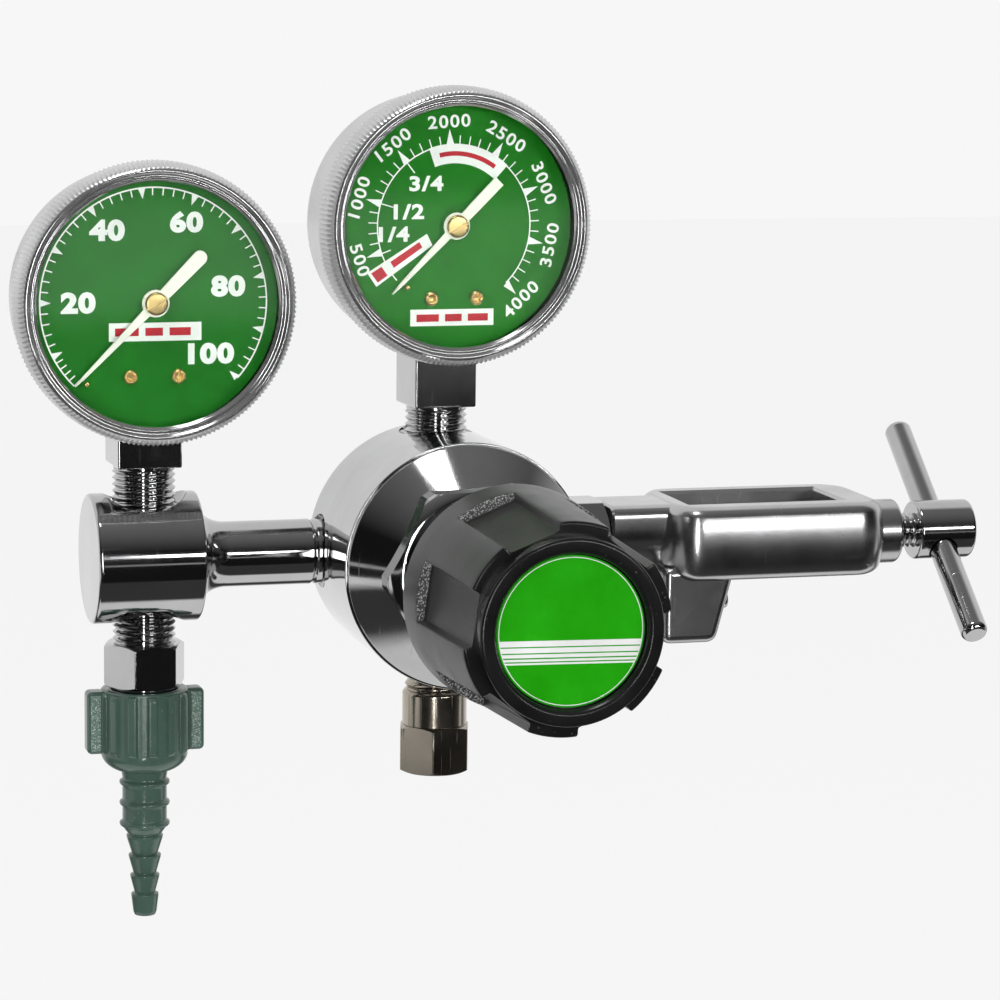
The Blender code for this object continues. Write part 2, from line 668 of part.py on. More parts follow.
def regulator_body():
    bore = SPIGOT_RADIUS + CLEARANCE
    middle = BODY_BACK_CHAMFER * BODY_CHAMFER_MIDDLE
    profile = [
        (0, VALVE_BORE_FLOOR), (VALVE_BORE_RADIUS, VALVE_BORE_FLOOR), (VALVE_BORE_RADIUS, CHAMBER_FLOOR),
        (CHAMBER_RADIUS, CHAMBER_FLOOR), (CHAMBER_RADIUS, DIAPHRAGM_SEAT), (bore, DIAPHRAGM_SEAT),
        (bore, BODY_FRONT), (BODY_RADIUS - BODY_RIM, BODY_FRONT), (BODY_RADIUS, BODY_FRONT - BODY_RIM),
        (BODY_RADIUS, BODY_BACK + BODY_BACK_CHAMFER), (BODY_RADIUS - middle, BODY_BACK + middle),
        (BODY_RADIUS - BODY_BACK_CHAMFER, BODY_BACK), (0, BODY_BACK),
    ]
    body = turned("regulator_body", profile, FRONT_AXIS, "chrome", LARGE_SEGMENTS)
    ports = {
        "top": ((0, 0, 0), 0.0), "bottom": ((math.pi, 0, 0), CHAMBER_PORT_OFFSET - PASSAGE_RADIUS),
        "left": ((0, -QUARTER, 0), CHAMBER_PORT_OFFSET - PASSAGE_RADIUS), "right": ((0, QUARTER, 0), 0.0),
    }
    for side, (rotation, passage_end) in ports.items():
        tool = port_cutter("port_" + side, BODY_CENTRE, SPOT_FACE_RADIUS, BODY_RADIUS, SPOT_FACE_DEPTH,
                           passage_end, rotation)
        cut(body, tool)
    for side, place in {"left": (-CHAMBER_PORT_OFFSET, 0, 0), "bottom": (0, -CHAMBER_PORT_OFFSET, 0)}.items():
        tool = prism("chamber_port_" + side, CHAMBER_PORT_RADIUS, 0, CHAMBER_FLOOR + CUT_OVER, TINY_SEGMENTS,
                     FRONT_AXIS, location=place)
        cut(body, tool)


def bonnet():
    flange = BODY_FRONT + CLEARANCE
    spigot_end = DIAPHRAGM_SEAT + DIAPHRAGM_THICKNESS + SLIP_RING_THICKNESS + 3 * CLEARANCE
    cone_top = flange + (CONE_RADIUS - TOWER_RADIUS)
    screw_bore = SCREW_RADIUS + CLEARANCE
    profile = [
        (screw_bore, TOWER_FRONT), (TOWER_RADIUS - TOWER_CHAMFER, TOWER_FRONT),
        (TOWER_RADIUS, TOWER_FRONT - TOWER_CHAMFER),
        (TOWER_RADIUS, cone_top), (CONE_RADIUS, flange + CONE_RIM), (CONE_RADIUS, flange),
        (SPIGOT_RADIUS, flange),
        (SPIGOT_RADIUS, spigot_end), (SLIP_RING_INNER, spigot_end),
        (SLIP_RING_INNER, flange - BONNET_CAVITY_REAR),
        (TOWER_BORE, flange + BONNET_CAVITY_FRONT), (TOWER_BORE, TOWER_FRONT - TOWER_WALL),
        (screw_bore, TOWER_FRONT - TOWER_WALL),
    ]
    part = turned("bonnet", profile, FRONT_AXIS, "chrome", LARGE_SEGMENTS, closed=True)
    hexagon_tool = hexagon("bonnet_hex", HEX_FLATS, flange + HEX_SINK, HEX_FRONT, FRONT_AXIS, turn=HEX_TURN)
    trim = [
        (0, HEX_FRONT + CUT_OVER), (HEX_CORNER - HEX_CHAMFER, HEX_FRONT + CUT_OVER),
        (HEX_CORNER - HEX_CHAMFER, HEX_FRONT),
        (HEX_CORNER, HEX_FRONT - HEX_CHAMFER), (HEX_CORNER, flange), (0, flange),
    ]
    keep_inside(hexagon_tool, turned("bonnet_hex_trim", trim, FRONT_AXIS, segments=LARGE_SEGMENTS))
    inside = TOWER_RADIUS - HEX_LAP
    bore = [(0, HEX_FRONT + CUT_OVER), (inside, HEX_FRONT + CUT_OVER), (inside, flange), (0, flange)]
    cut(hexagon_tool, turned("bonnet_hex_bore", bore, FRONT_AXIS, segments=LARGE_SEGMENTS))
    join(part, hexagon_tool)


def diaphragm_set():
    low = DIAPHRAGM_SEAT + CLEARANCE
    high = low + DIAPHRAGM_THICKNESS
    prism("diaphragm", SPIGOT_RADIUS, low, high, MEDIUM_SEGMENTS, FRONT_AXIS, "rubber")
    ring_low = high + CLEARANCE
    ring_high = ring_low + SLIP_RING_THICKNESS
    ring = [(SPIGOT_RADIUS, ring_high), (SPIGOT_RADIUS, ring_low), (SLIP_RING_INNER, ring_low),
            (SLIP_RING_INNER, ring_high)]
    turned("slip_ring", ring, FRONT_AXIS, "brass", MEDIUM_SEGMENTS, closed=True)
    plate_top = ring_low + PLATE_THICKNESS
    plate = [(0, plate_top + SPRING_GUIDE_HEIGHT), (SPRING_GUIDE_RADIUS, plate_top + SPRING_GUIDE_HEIGHT),
             (SPRING_GUIDE_RADIUS, plate_top), (PLATE_RADIUS, plate_top), (PLATE_RADIUS, ring_low),
             (0, ring_low)]
    turned("diaphragm_plate", plate, FRONT_AXIS, "brass")
    button_back = SCREW_REAR - CLEARANCE - BUTTON_THICKNESS
    coil("main_spring", MAIN_SPRING_RADIUS, MAIN_SPRING_WIRE, plate_top + CLEARANCE, button_back - CLEARANCE,
         MAIN_SPRING_TURNS, FRONT_AXIS, "steel", MAIN_SPRING_POINTS, 1)


# Knob, screw and button

def adjusting_knob():
    taper = (KNOB_REAR_RADIUS - KNOB_FRONT_RADIUS) / (KNOB_FRONT - KNOB_RING_HEIGHT - KNOB_REAR)
    shoulder = KNOB_FRONT - KNOB_RING_HEIGHT
    recess = KNOB_FRONT - KNOB_RECESS_DEPTH
    bore = SCREW_RADIUS + CLEARANCE
    bore_end = recess - KNOB_FACE_WALL
    cavity = TOWER_RADIUS + KNOB_GAP
    profile = [
        (0, recess), (LABEL_RADIUS + CLEARANCE, recess), (LABEL_RADIUS + CLEARANCE, KNOB_FRONT - KNOB_EDGE),
        (LABEL_RADIUS + CLEARANCE + KNOB_EDGE, KNOB_FRONT), (KNOB_RING_RADIUS - KNOB_EDGE, KNOB_FRONT),
        (KNOB_RING_RADIUS, KNOB_FRONT - KNOB_EDGE), (KNOB_RING_RADIUS, shoulder),
        (KNOB_FRONT_RADIUS - KNOB_EDGE, shoulder),
        (KNOB_FRONT_RADIUS, shoulder - KNOB_EDGE),
        (KNOB_REAR_RADIUS - taper * KNOB_REAR_ROUND, KNOB_REAR + KNOB_REAR_ROUND),
        (KNOB_REAR_RADIUS - KNOB_REAR_ROUND, KNOB_REAR), (cavity, KNOB_REAR), (cavity, KNOB_CAVITY_FLOOR),
        (bore, KNOB_CAVITY_FLOOR), (bore, bore_end), (0, bore_end),
    ]
    knob = turned("adjusting_knob", profile, FRONT_AXIS, "black_plastic", KNOB_SEGMENTS)
    flute_front = shoulder + CUT_OVER
    floor_rear = KNOB_REAR_RADIUS - taper * (FLUTE_REAR - KNOB_REAR) - FLUTE_DEPTH
    floor_front = KNOB_RING_RADIUS + FLUTE_STEP
    slope = (floor_rear - floor_front) / (shoulder - FLUTE_REAR)
    outer = KNOB_REAR_RADIUS + CUT_OVER
    for i in range(KNOB_LOBES):
        shape = bmesh.new()
        bmesh.ops.create_cube(shape, size=1.0)
        for vert in shape.verts:
            height = flute_front if vert.co.z > 0 else FLUTE_REAR
            floor = floor_rear - slope * (height - FLUTE_REAR)
            vert.co = (outer if vert.co.x > 0 else floor, math.copysign(FLUTE_HALF_WIDTH, vert.co.y), height)
        turn = KNOB_TURN + (i + 0.5) * 2 * math.pi / KNOB_LOBES
        cut(knob, from_bmesh("flute_%d" % (i + 1), shape, FRONT_AXIS, rotation=(0, 0, turn)))
    label_back = recess + CLEARANCE
    prism("knob_label", LABEL_RADIUS, label_back, label_back + LABEL_THICKNESS, LARGE_SEGMENTS, FRONT_AXIS,
          "label_green")
    screw_front = bore_end - CLEARANCE
    screw = [(0, screw_front), (SCREW_RADIUS, screw_front), (SCREW_RADIUS, SCREW_REAR + SCREW_POINT),
             (SCREW_RADIUS - SCREW_POINT, SCREW_REAR), (0, SCREW_REAR)]
    turned("adjusting_screw", screw, FRONT_AXIS, "steel")
    button_front = SCREW_REAR - CLEARANCE
    button_back = button_front - BUTTON_THICKNESS
    guide = button_back - SPRING_GUIDE_HEIGHT
    button = [(0, button_front), (BUTTON_RADIUS, button_front), (BUTTON_RADIUS, button_back),
              (SPRING_GUIDE_RADIUS, button_back), (SPRING_GUIDE_RADIUS, guide), (0, guide)]
    turned("spring_button", button, FRONT_AXIS, "steel")


# High-pressure valve

def high_pressure_valve():
    hex_bottom = CHAMBER_FLOOR + CLEARANCE
    hex_top = hex_bottom + NOZZLE_HEX_HEIGHT
    nozzle = prism("valve_nozzle", NOZZLE_RADIUS, NOZZLE_REAR, hex_bottom + CLEARANCE, SMALL_SEGMENTS,
                   FRONT_AXIS, "brass")
    join(nozzle, hexagon("nozzle_hex", NOZZLE_HEX_FLATS, hex_bottom, hex_top, FRONT_AXIS))
    cut(nozzle, prism("nozzle_bore", NOZZLE_BORE, NOZZLE_REAR - CUT_OVER, hex_top + CUT_OVER, TINY_SEGMENTS,
                      FRONT_AXIS))
    head_top = NOZZLE_REAR - CLEARANCE
    head_bottom = head_top - POPPET_LENGTH
    stem_top = DIAPHRAGM_SEAT
    poppet = [(0, stem_top), (POPPET_STEM, stem_top), (POPPET_STEM, head_top), (POPPET_SEAT_RADIUS, head_top),
              (POPPET_RADIUS, head_top - POPPET_CONE), (POPPET_RADIUS, head_bottom), (0, head_bottom)]
    turned("valve_poppet", poppet, FRONT_AXIS, "brass", SMALL_SEGMENTS)
    coil("poppet_spring", POPPET_RADIUS - POPPET_SPRING_WIRE, POPPET_SPRING_WIRE,
         VALVE_BORE_FLOOR + CLEARANCE,
         head_bottom - CLEARANCE, POPPET_SPRING_TURNS, FRONT_AXIS, "steel", SMALL_SPRING_POINTS, 0)


# Outlet side

def outlet_manifold():
    shank_end = -(PORT_FACE - PIPE_DEPTH)
    shoulder_right = -PORT_FACE - CLEARANCE
    shoulder_left = shoulder_right - ARM_SHOULDER
    flare_length = ARM_FLARE_END - MANIFOLD_RIGHT
    flare_height = ARM_FLARE_RADIUS - ARM_RADIUS
    flare = [(ARM_RADIUS + flare_height * (1 + across), ARM_FLARE_END + flare_length * along)
             for across, along in arc((0, 0), 1.0, math.pi, 1.5 * math.pi, ARM_FLARE_STEPS)]
    profile = [(0, shank_end), (PIPE_RADIUS, shank_end), (PIPE_RADIUS, shoulder_right),
               (ARM_RADIUS, shoulder_right),
               (ARM_RADIUS, shoulder_left + ARM_GROOVE), (ARM_RADIUS - ARM_GROOVE, shoulder_left),
               (ARM_RADIUS, shoulder_left - ARM_GROOVE)]
    profile += flare
    face = MANIFOLD_RADIUS - MANIFOLD_EDGE
    profile += [(face, MANIFOLD_RIGHT), (MANIFOLD_RADIUS, MANIFOLD_RIGHT - MANIFOLD_EDGE),
                (MANIFOLD_RADIUS, MANIFOLD_LEFT + MANIFOLD_EDGE), (face, MANIFOLD_LEFT), (0, MANIFOLD_LEFT)]
    manifold = turned("outlet_manifold", profile, CLAMP_AXIS, "chrome", LARGE_SEGMENTS)
    for side, rotation in {"top": (0, 0, 0), "bottom": (math.pi, 0, 0)}.items():
        tool = port_cutter("manifold_port_" + side, OUTLET_AXIS, MANIFOLD_SPOT_RADIUS, MANIFOLD_RADIUS,
                           MANIFOLD_SPOT_DEPTH, PASSAGE_RADIUS / 2, rotation)
        cut(manifold, tool)
    cut(manifold, prism("manifold_passage", CROSS_BORE_RADIUS, OUTLET_X - CROSS_BORE_RADIUS,
                        shank_end + CUT_OVER,
                        SMALL_SEGMENTS, CLAMP_AXIS))


def outlet_nipple():
    shank_top = -(MANIFOLD_RADIUS - MANIFOLD_SPOT_DEPTH - PIPE_DEPTH)
    thread = NUT_BORE - CLEARANCE
    profile = [
        (NIPPLE_BORE, shank_top), (PIPE_RADIUS, shank_top), (PIPE_RADIUS, NIPPLE_HEX_TOP - HEX_LAP),
        (thread, NIPPLE_HEX_BOTTOM + HEX_LAP), (thread, NIPPLE_END + NIPPLE_SEAT),
        (thread - NIPPLE_SEAT, NIPPLE_END),
        (NIPPLE_BORE, NIPPLE_END),
    ]
    nipple = turned("outlet_nipple", profile, OUTLET_AXIS, "chrome", MEDIUM_SEGMENTS, closed=True)
    hex_tool = hexagon("nipple_hex", NIPPLE_HEX_FLATS, NIPPLE_HEX_BOTTOM, NIPPLE_HEX_TOP, OUTLET_AXIS,
                       turn=NIPPLE_HEX_TURN)
    keep_inside(hex_tool, hex_trim("nipple_hex_trim", NIPPLE_HEX_FLATS, NIPPLE_HEX_BOTTOM, NIPPLE_HEX_TOP,
                                   OUTLET_AXIS))
    cut(hex_tool, prism("nipple_hex_bore", NIPPLE_BORE + HEX_LAP, NIPPLE_HEX_BOTTOM - CUT_OVER,
                        NIPPLE_HEX_TOP + CUT_OVER,
                        MEDIUM_SEGMENTS, OUTLET_AXIS))
    join(nipple, hex_tool)


def hex_trim(name, across_flats, bottom, top, frame):
    """A barrel that chamfers both ends of a hexagon's corners."""
    corner = across_flats / math.sqrt(3)
    flat = across_flats / 2
    drop = (corner - flat) * HEX_TRIM_DROP
    inner = flat - HEX_TRIM_STEP
    outer = corner + HEX_TRIM_OVER
    profile = [(0, top + CUT_OVER), (inner, top + CUT_OVER), (inner, top), (outer, top - drop),
               (outer, bottom + drop), (inner, bottom), (inner, bottom - CUT_OVER), (0, bottom - CUT_OVER)]
    return turned(name, profile, frame, segments=MEDIUM_SEGMENTS)


def wing_nut():
    outline = []
    rib = ((-RIB_FOOT, NUT_VALLEY), (-RIB_CREST, NUT_RADIUS), (RIB_CREST, NUT_RADIUS), (RIB_FOOT, NUT_VALLEY))
    for i in range(NUT_RIBS):
        for fraction, radius in rib:
            angle = NUT_TURN + (i + fraction) * 2 * math.pi / NUT_RIBS
            outline.append((radius * math.cos(angle), radius * math.sin(angle)))
    nut = slab("wing_nut", outline, NUT_STRAIGHT_END + DOME_LAP, NUT_TOP, OUTLET_AXIS, "green_plastic")
    hole = BARB_NECK_RADIUS + CLEARANCE
    depth = NUT_STRAIGHT_END - NUT_BOTTOM
    side = NUT_VALLEY - DOME_STEP
    start = NUT_TOP - DOME_START
    dome = [(0, start), (side, start), (side, NUT_STRAIGHT_END)]
    rim = hole + NUT_RIM
    for i in (1, 2, 3):
        angle = i * QUARTER / 3
        dome.append((rim + (side - rim) * math.cos(angle), NUT_STRAIGHT_END - depth * math.sin(angle)))
    dome.append((0, NUT_BOTTOM))
    join(nut, turned("nut_dome", dome, OUTLET_AXIS))
    wings = box("nut_wings", (-WING_REACH, -WING_THICKNESS / 2, NUT_STRAIGHT_END),
                (WING_REACH, WING_THICKNESS / 2, NUT_TOP - WING_DROP), OUTLET_AXIS)
    round_edges(wings, WING_ROUND, 2, WING_ROUND_ANGLE)
    join(nut, wings)
    bore = [(0, NUT_TOP + CUT_OVER), (NUT_BORE + NUT_LEAD_IN + CUT_OVER, NUT_TOP + CUT_OVER),
            (NUT_BORE, NUT_TOP - NUT_LEAD_IN),
            (NUT_BORE, NUT_FLOOR), (hole, NUT_FLOOR), (hole, NUT_BOTTOM - CUT_OVER),
            (0, NUT_BOTTOM - CUT_OVER)]
    cut(nut, turned("nut_bore", bore, OUTLET_AXIS))


def hose_barb():
    collar_bottom = NUT_FLOOR + CLEARANCE
    collar_top = NIPPLE_END - CLEARANCE
    profile = [(BARB_BORE, BARB_TAIL_TOP), (BARB_TAIL_RADIUS, BARB_TAIL_TOP), (BARB_TAIL_RADIUS, collar_top),
               (BARB_COLLAR, collar_top), (BARB_COLLAR, collar_bottom), (BARB_NECK_RADIUS, collar_bottom),
               (BARB_NECK_RADIUS, NUT_BOTTOM), (BARB_TUBE_RADIUS, NUT_BOTTOM - BARB_NECK_CONE)]
    half = BARB_BEAD_HEIGHT / 2
    flat = half * BARB_BEAD_FLAT
    for i in range(BARB_BEADS):
        bead = NUT_BOTTOM - BARB_FIRST_BEAD - i * BARB_BEAD_STEP
        profile += [(BARB_TUBE_RADIUS, bead + half), (BARB_BEAD_RADIUS, bead + flat),
                    (BARB_BEAD_RADIUS, bead - flat), (BARB_TUBE_RADIUS, bead - half)]
    teeth = [(NUT_BOTTOM - drop, radius) for drop, radius in BARB_TEETH]
    ends = [top for top, radius in teeth[1:]] + [BARB_END + BARB_END_LAND]
    waists = [radius - BARB_TOOTH_WAIST for top, radius in teeth[1:]] + [BARB_END_RADIUS]
    first_top, first_radius = teeth[0]
    profile.append((first_radius - BARB_ROOT_RISE, first_top + BARB_ROOT_STEP))
    for (top, radius), end, waist in zip(teeth, ends, waists):
        profile += [(radius, top), (radius, top - BARB_TOOTH_LAND), (waist, end + BARB_TOOTH_GAP)]
    profile += [(BARB_END_RADIUS - BARB_END_CHAMFER, BARB_END), (BARB_BORE, BARB_END)]
    turned("hose_barb", profile, OUTLET_AXIS, "green_plastic", BARB_SEGMENTS, closed=True)


# Relief valve

def relief_valve():
    shank_top = -(PORT_FACE - PIPE_DEPTH)
    lip = RELIEF_END + RELIEF_LIP
    profile = [
        (RELIEF_INLET, shank_top), (RELIEF_SHANK, shank_top), (RELIEF_SHANK, RELIEF_SHOULDER),
        (RELIEF_RADIUS, RELIEF_SHOULDER - RELIEF_STEP), (RELIEF_RADIUS, RELIEF_HEX_TOP - HEX_LAP),
        (RELIEF_RADIUS - RELIEF_INNER_STEP, lip), (RELIEF_BORE, lip),
        (RELIEF_BORE, RELIEF_SEAT), (RELIEF_INLET, RELIEF_SEAT),
    ]
    body = turned("relief_body", profile, RELIEF_AXIS, "nickel", MEDIUM_SEGMENTS, closed=True)
    hex_tool = hexagon("relief_hex", RELIEF_HEX_FLATS, RELIEF_END, RELIEF_HEX_TOP, RELIEF_AXIS,
                       turn=RELIEF_HEX_TURN)
    keep_inside(hex_tool, hex_trim("relief_hex_trim", RELIEF_HEX_FLATS, RELIEF_END, RELIEF_HEX_TOP,
                                   RELIEF_AXIS))
    cut(hex_tool, prism("relief_hex_bore", RELIEF_BORE + RELIEF_HEX_STEP, RELIEF_END - CUT_OVER,
                        RELIEF_HEX_TOP + CUT_OVER,
                        MEDIUM_SEGMENTS, RELIEF_AXIS))
    join(body, hex_tool)
    poppet_top = RELIEF_SEAT - CLEARANCE
    poppet_bottom = poppet_top - RELIEF_POPPET_LENGTH
    poppet_radius = RELIEF_BORE - RELIEF_POPPET_GAP
    poppet = [(0, poppet_top), (poppet_radius, poppet_top), (poppet_radius, poppet_bottom),
              (0, poppet_bottom)]
    turned("relief_poppet", poppet, RELIEF_AXIS, "brass", SMALL_SEGMENTS)
    plug_top = RELIEF_END + RELIEF_PLUG_DEPTH
    plug_bottom = RELIEF_END + RELIEF_PLUG_RECESS
    plug_radius = RELIEF_BORE - CLEARANCE
    plug = [(RELIEF_PLUG_VENT, plug_top), (plug_radius, plug_top), (plug_radius, plug_bottom),
            (RELIEF_PLUG_VENT, plug_bottom)]
    plug_part = turned("relief_plug", plug, RELIEF_AXIS, "brass", SMALL_SEGMENTS, closed=True)
    cut(plug_part, box("relief_plug_slot", (-RELIEF_BORE, -RELIEF_SLOT_HALF, plug_bottom - CUT_OVER),
                       (RELIEF_BORE, RELIEF_SLOT_HALF, plug_bottom + RELIEF_SLOT_DEPTH), RELIEF_AXIS))
    coil("relief_spring", RELIEF_BORE - RELIEF_SPRING_GAP, RELIEF_SPRING_WIRE, plug_top + CLEARANCE,
         poppet_bottom - CLEARANCE,
         RELIEF_SPRING_TURNS, RELIEF_AXIS, "steel", SMALL_SPRING_POINTS, 0)


# Inlet side

def inlet_stem():
    shank_end = PORT_FACE - PIPE_DEPTH
    shoulder = PORT_FACE + CLEARANCE
    collar = SPOT_FACE_RADIUS - CLEARANCE
    hex_end = NECK_START - CLEARANCE
    tail_end = NECK_START + PIPE_DEPTH
    profile = [(PASSAGE_RADIUS, tail_end), (PIPE_RADIUS, tail_end), (PIPE_RADIUS, hex_end - HEX_LAP),
               (collar, STEM_HEX_START + HEX_LAP), (collar, shoulder),
               (PIPE_RADIUS, shoulder), (PIPE_RADIUS, shank_end), (PASSAGE_RADIUS, shank_end)]
    stem = turned("inlet_stem", profile, CLAMP_AXIS, "chrome", MEDIUM_SEGMENTS, closed=True)
    hex_tool = hexagon("stem_hex", STEM_HEX_FLATS, STEM_HEX_START, hex_end, CLAMP_AXIS)
    keep_inside(hex_tool, hex_trim("stem_hex_trim", STEM_HEX_FLATS, STEM_HEX_START, hex_end, CLAMP_AXIS))
    cut(hex_tool, prism("stem_hex_bore", PIPE_RADIUS - HEX_LAP, STEM_HEX_START - CUT_OVER, hex_end + CUT_OVER,
                        MEDIUM_SEGMENTS, CLAMP_AXIS))
    join(stem, hex_tool)


def mirrored(points):
    """The outline's other half, mirrored about the X axis."""
    return points + [(x, -y) for x, y in reversed(points)]


def yoke_frame():
    corner = YOKE_HALF_WIDTH - BOSS_RADIUS
    length = YOKE_END - YOKE_CORNER_START
    right = [(YOKE_CORNER_START + length * across, BOSS_RADIUS + corner * along)
             for along, across in arc((0, 0), 1.0, 0.0, QUARTER, YOKE_CORNER_STEPS)]
    left = [(YOKE_START + along, YOKE_HALF_WIDTH - inset) for along, inset in YOKE_SHOULDER]
    half = [(YOKE_START - YOKE_LAP, NECK_HALF_WIDTH)] + left + right
    yoke = slab("yoke_frame", mirrored(half), YOKE_BOTTOM, YOKE_TOP, BODY_CENTRE, "chrome")
    round_edges(yoke, YOKE_EDGE_ROUND, 2, YOKE_ROUND_ANGLE)
    middle = (YOKE_TOP + YOKE_BOTTOM) / 2
    neck_top = YOKE_TOP - NECK_DROP
    neck_floor = NECK_HALF_WIDTH * NECK_FLOOR_SHARE
    neck_outline = [(-NECK_HALF_WIDTH, neck_top), (NECK_HALF_WIDTH, neck_top), (NECK_HALF_WIDTH, middle),
                    (neck_floor, YOKE_BOTTOM), (-neck_floor, YOKE_BOTTOM), (-NECK_HALF_WIDTH, middle)]
    neck = slab("yoke_neck", [(-z, y) for y, z in neck_outline], NECK_START, YOKE_START + NECK_LAP,
                CLAMP_AXIS)
    join(yoke, neck)
    boss = [(0, BOSS_END), (BOSS_RADIUS - BOSS_EDGE, BOSS_END), (BOSS_RADIUS, BOSS_END - BOSS_EDGE),
            (BOSS_RADIUS, YOKE_END - BOSS_LAP), (0, YOKE_END - BOSS_LAP)]
    join(yoke, turned("yoke_boss", boss, CLAMP_AXIS, segments=MEDIUM_SEGMENTS))
    window = box("yoke_window", (WINDOW_START, -WINDOW_HALF_WIDTH, YOKE_BOTTOM - CUT_OVER),
                 (WINDOW_END, WINDOW_HALF_WIDTH, YOKE_TOP + CUT_OVER), BODY_CENTRE)
    cut(yoke, window)
    seat_back = WINDOW_START - YOKE_LAP
    seat_high = YOKE_TOP - SEAT_STEP
    seat_low = YOKE_BOTTOM + SEAT_STEP
    seat_outline = [(seat_back, seat_high), (WINDOW_START + SEAT_LEDGE, seat_high),
                    (SEAT_X, SEAT_TOP), (SEAT_X, seat_low), (seat_back, seat_low)]
    seat_half = WINDOW_HALF_WIDTH + SEAT_LAP
    seat = slab("yoke_seat", seat_outline, -seat_half, seat_half, FRONT_AXIS)
    join(yoke, seat)
    tab_top = YOKE_BOTTOM + TAB_LAP
    tab_outline = [
        (TAB_START, tab_top), (CHEEK_TOP_X, tab_top), (CHEEK_BOTTOM_X, TAB_BOTTOM + TAB_ROUND),
        (CHEEK_BOTTOM_X - TAB_ROUND, TAB_BOTTOM), (TAB_START + TAB_ROUND, TAB_BOTTOM),
        (TAB_START, TAB_BOTTOM + TAB_ROUND),
    ]
    tab = slab("yoke_tab", tab_outline, -CHEEK_HALF_WIDTH, CHEEK_HALF_WIDTH, FRONT_AXIS)
    cut(tab, box("yoke_tab_recess", (SEAT_X, -WINDOW_HALF_WIDTH, TAB_BOTTOM - CUT_OVER),
                 (CHEEK_TOP_X + CUT_OVER, WINDOW_HALF_WIDTH, YOKE_TOP), BODY_CENTRE))
    join(yoke, tab)
    nipple_hole = NIPPLE_RADIUS + CLEARANCE
    nipple_floor = SEAT_X - NIPPLE_ROOT - CLEARANCE
    stem_hole = PIPE_RADIUS + CLEARANCE
    stem_floor = NECK_START + PIPE_DEPTH + CLEARANCE
    inlet = [
        (0, SEAT_X + CUT_OVER), (nipple_hole, SEAT_X + CUT_OVER), (nipple_hole, nipple_floor),
        (PASSAGE_RADIUS, nipple_floor),
        (PASSAGE_RADIUS, stem_floor), (stem_hole, stem_floor), (stem_hole, NECK_START - CUT_OVER),
        (0, NECK_START - CUT_OVER),
    ]
    cut(yoke, turned("yoke_inlet", inlet, CLAMP_AXIS))
    cut(yoke, prism("yoke_screw_hole", CLAMP_RADIUS + CLEARANCE, WINDOW_END - CUT_OVER, BOSS_END + CUT_OVER,
                    MEDIUM_SEGMENTS, CLAMP_AXIS))
    for side, y in {"left": -1, "right": 1}.items():
        place = (PIN_CIRCLE * math.cos(PIN_ANGLE), y * PIN_CIRCLE * math.sin(PIN_ANGLE), 0)
        root = SEAT_X - PIN_ROOT
        cut(yoke, prism("pin_hole_" + side, PIN_RADIUS + CLEARANCE, root - CLEARANCE, SEAT_X + CUT_OVER,
                        SMALL_SEGMENTS,
                        CLAMP_AXIS, location=place))
        tip = SEAT_X + PIN_REACH
        pin = [(0, tip), (PIN_RADIUS - PIN_CHAMFER, tip), (PIN_RADIUS, tip - PIN_CHAMFER), (PIN_RADIUS, root),
               (0, root)]
        turned("index_pin_" + side, pin, CLAMP_AXIS, "steel", SMALL_SEGMENTS, location=place)


def inlet_nipple():
    root = SEAT_X - NIPPLE_ROOT
    socket = FILTER_RADIUS + CLEARANCE
    filter_back = NIPPLE_TIP_X - FILTER_THICKNESS
    profile = [(socket, NIPPLE_TIP_X), (NIPPLE_RADIUS - NIPPLE_TIP_STEP, NIPPLE_TIP_X),
               (NIPPLE_RADIUS, NIPPLE_TIP_X - NIPPLE_TIP_CHAMFER),
               (NIPPLE_RADIUS, root), (INLET_BORE, root), (INLET_BORE, filter_back - CLEARANCE),
               (socket, filter_back - CLEARANCE)]
    turned("inlet_nipple", profile, CLAMP_AXIS, "brass", SMALL_SEGMENTS, closed=True)
    prism("inlet_filter", FILTER_RADIUS, filter_back, NIPPLE_TIP_X, SMALL_SEGMENTS, CLAMP_AXIS, "bronze")
    washer_back = SEAT_X + CLEARANCE
    washer_front = washer_back + WASHER_THICKNESS
    inner = NIPPLE_RADIUS + CLEARANCE
    washer = [(WASHER_RADIUS, washer_front), (WASHER_RADIUS, washer_back), (inner, washer_back),
              (inner, washer_front)]
    turned("seal_washer", washer, CLAMP_AXIS, "rubber", MEDIUM_SEGMENTS, closed=True)


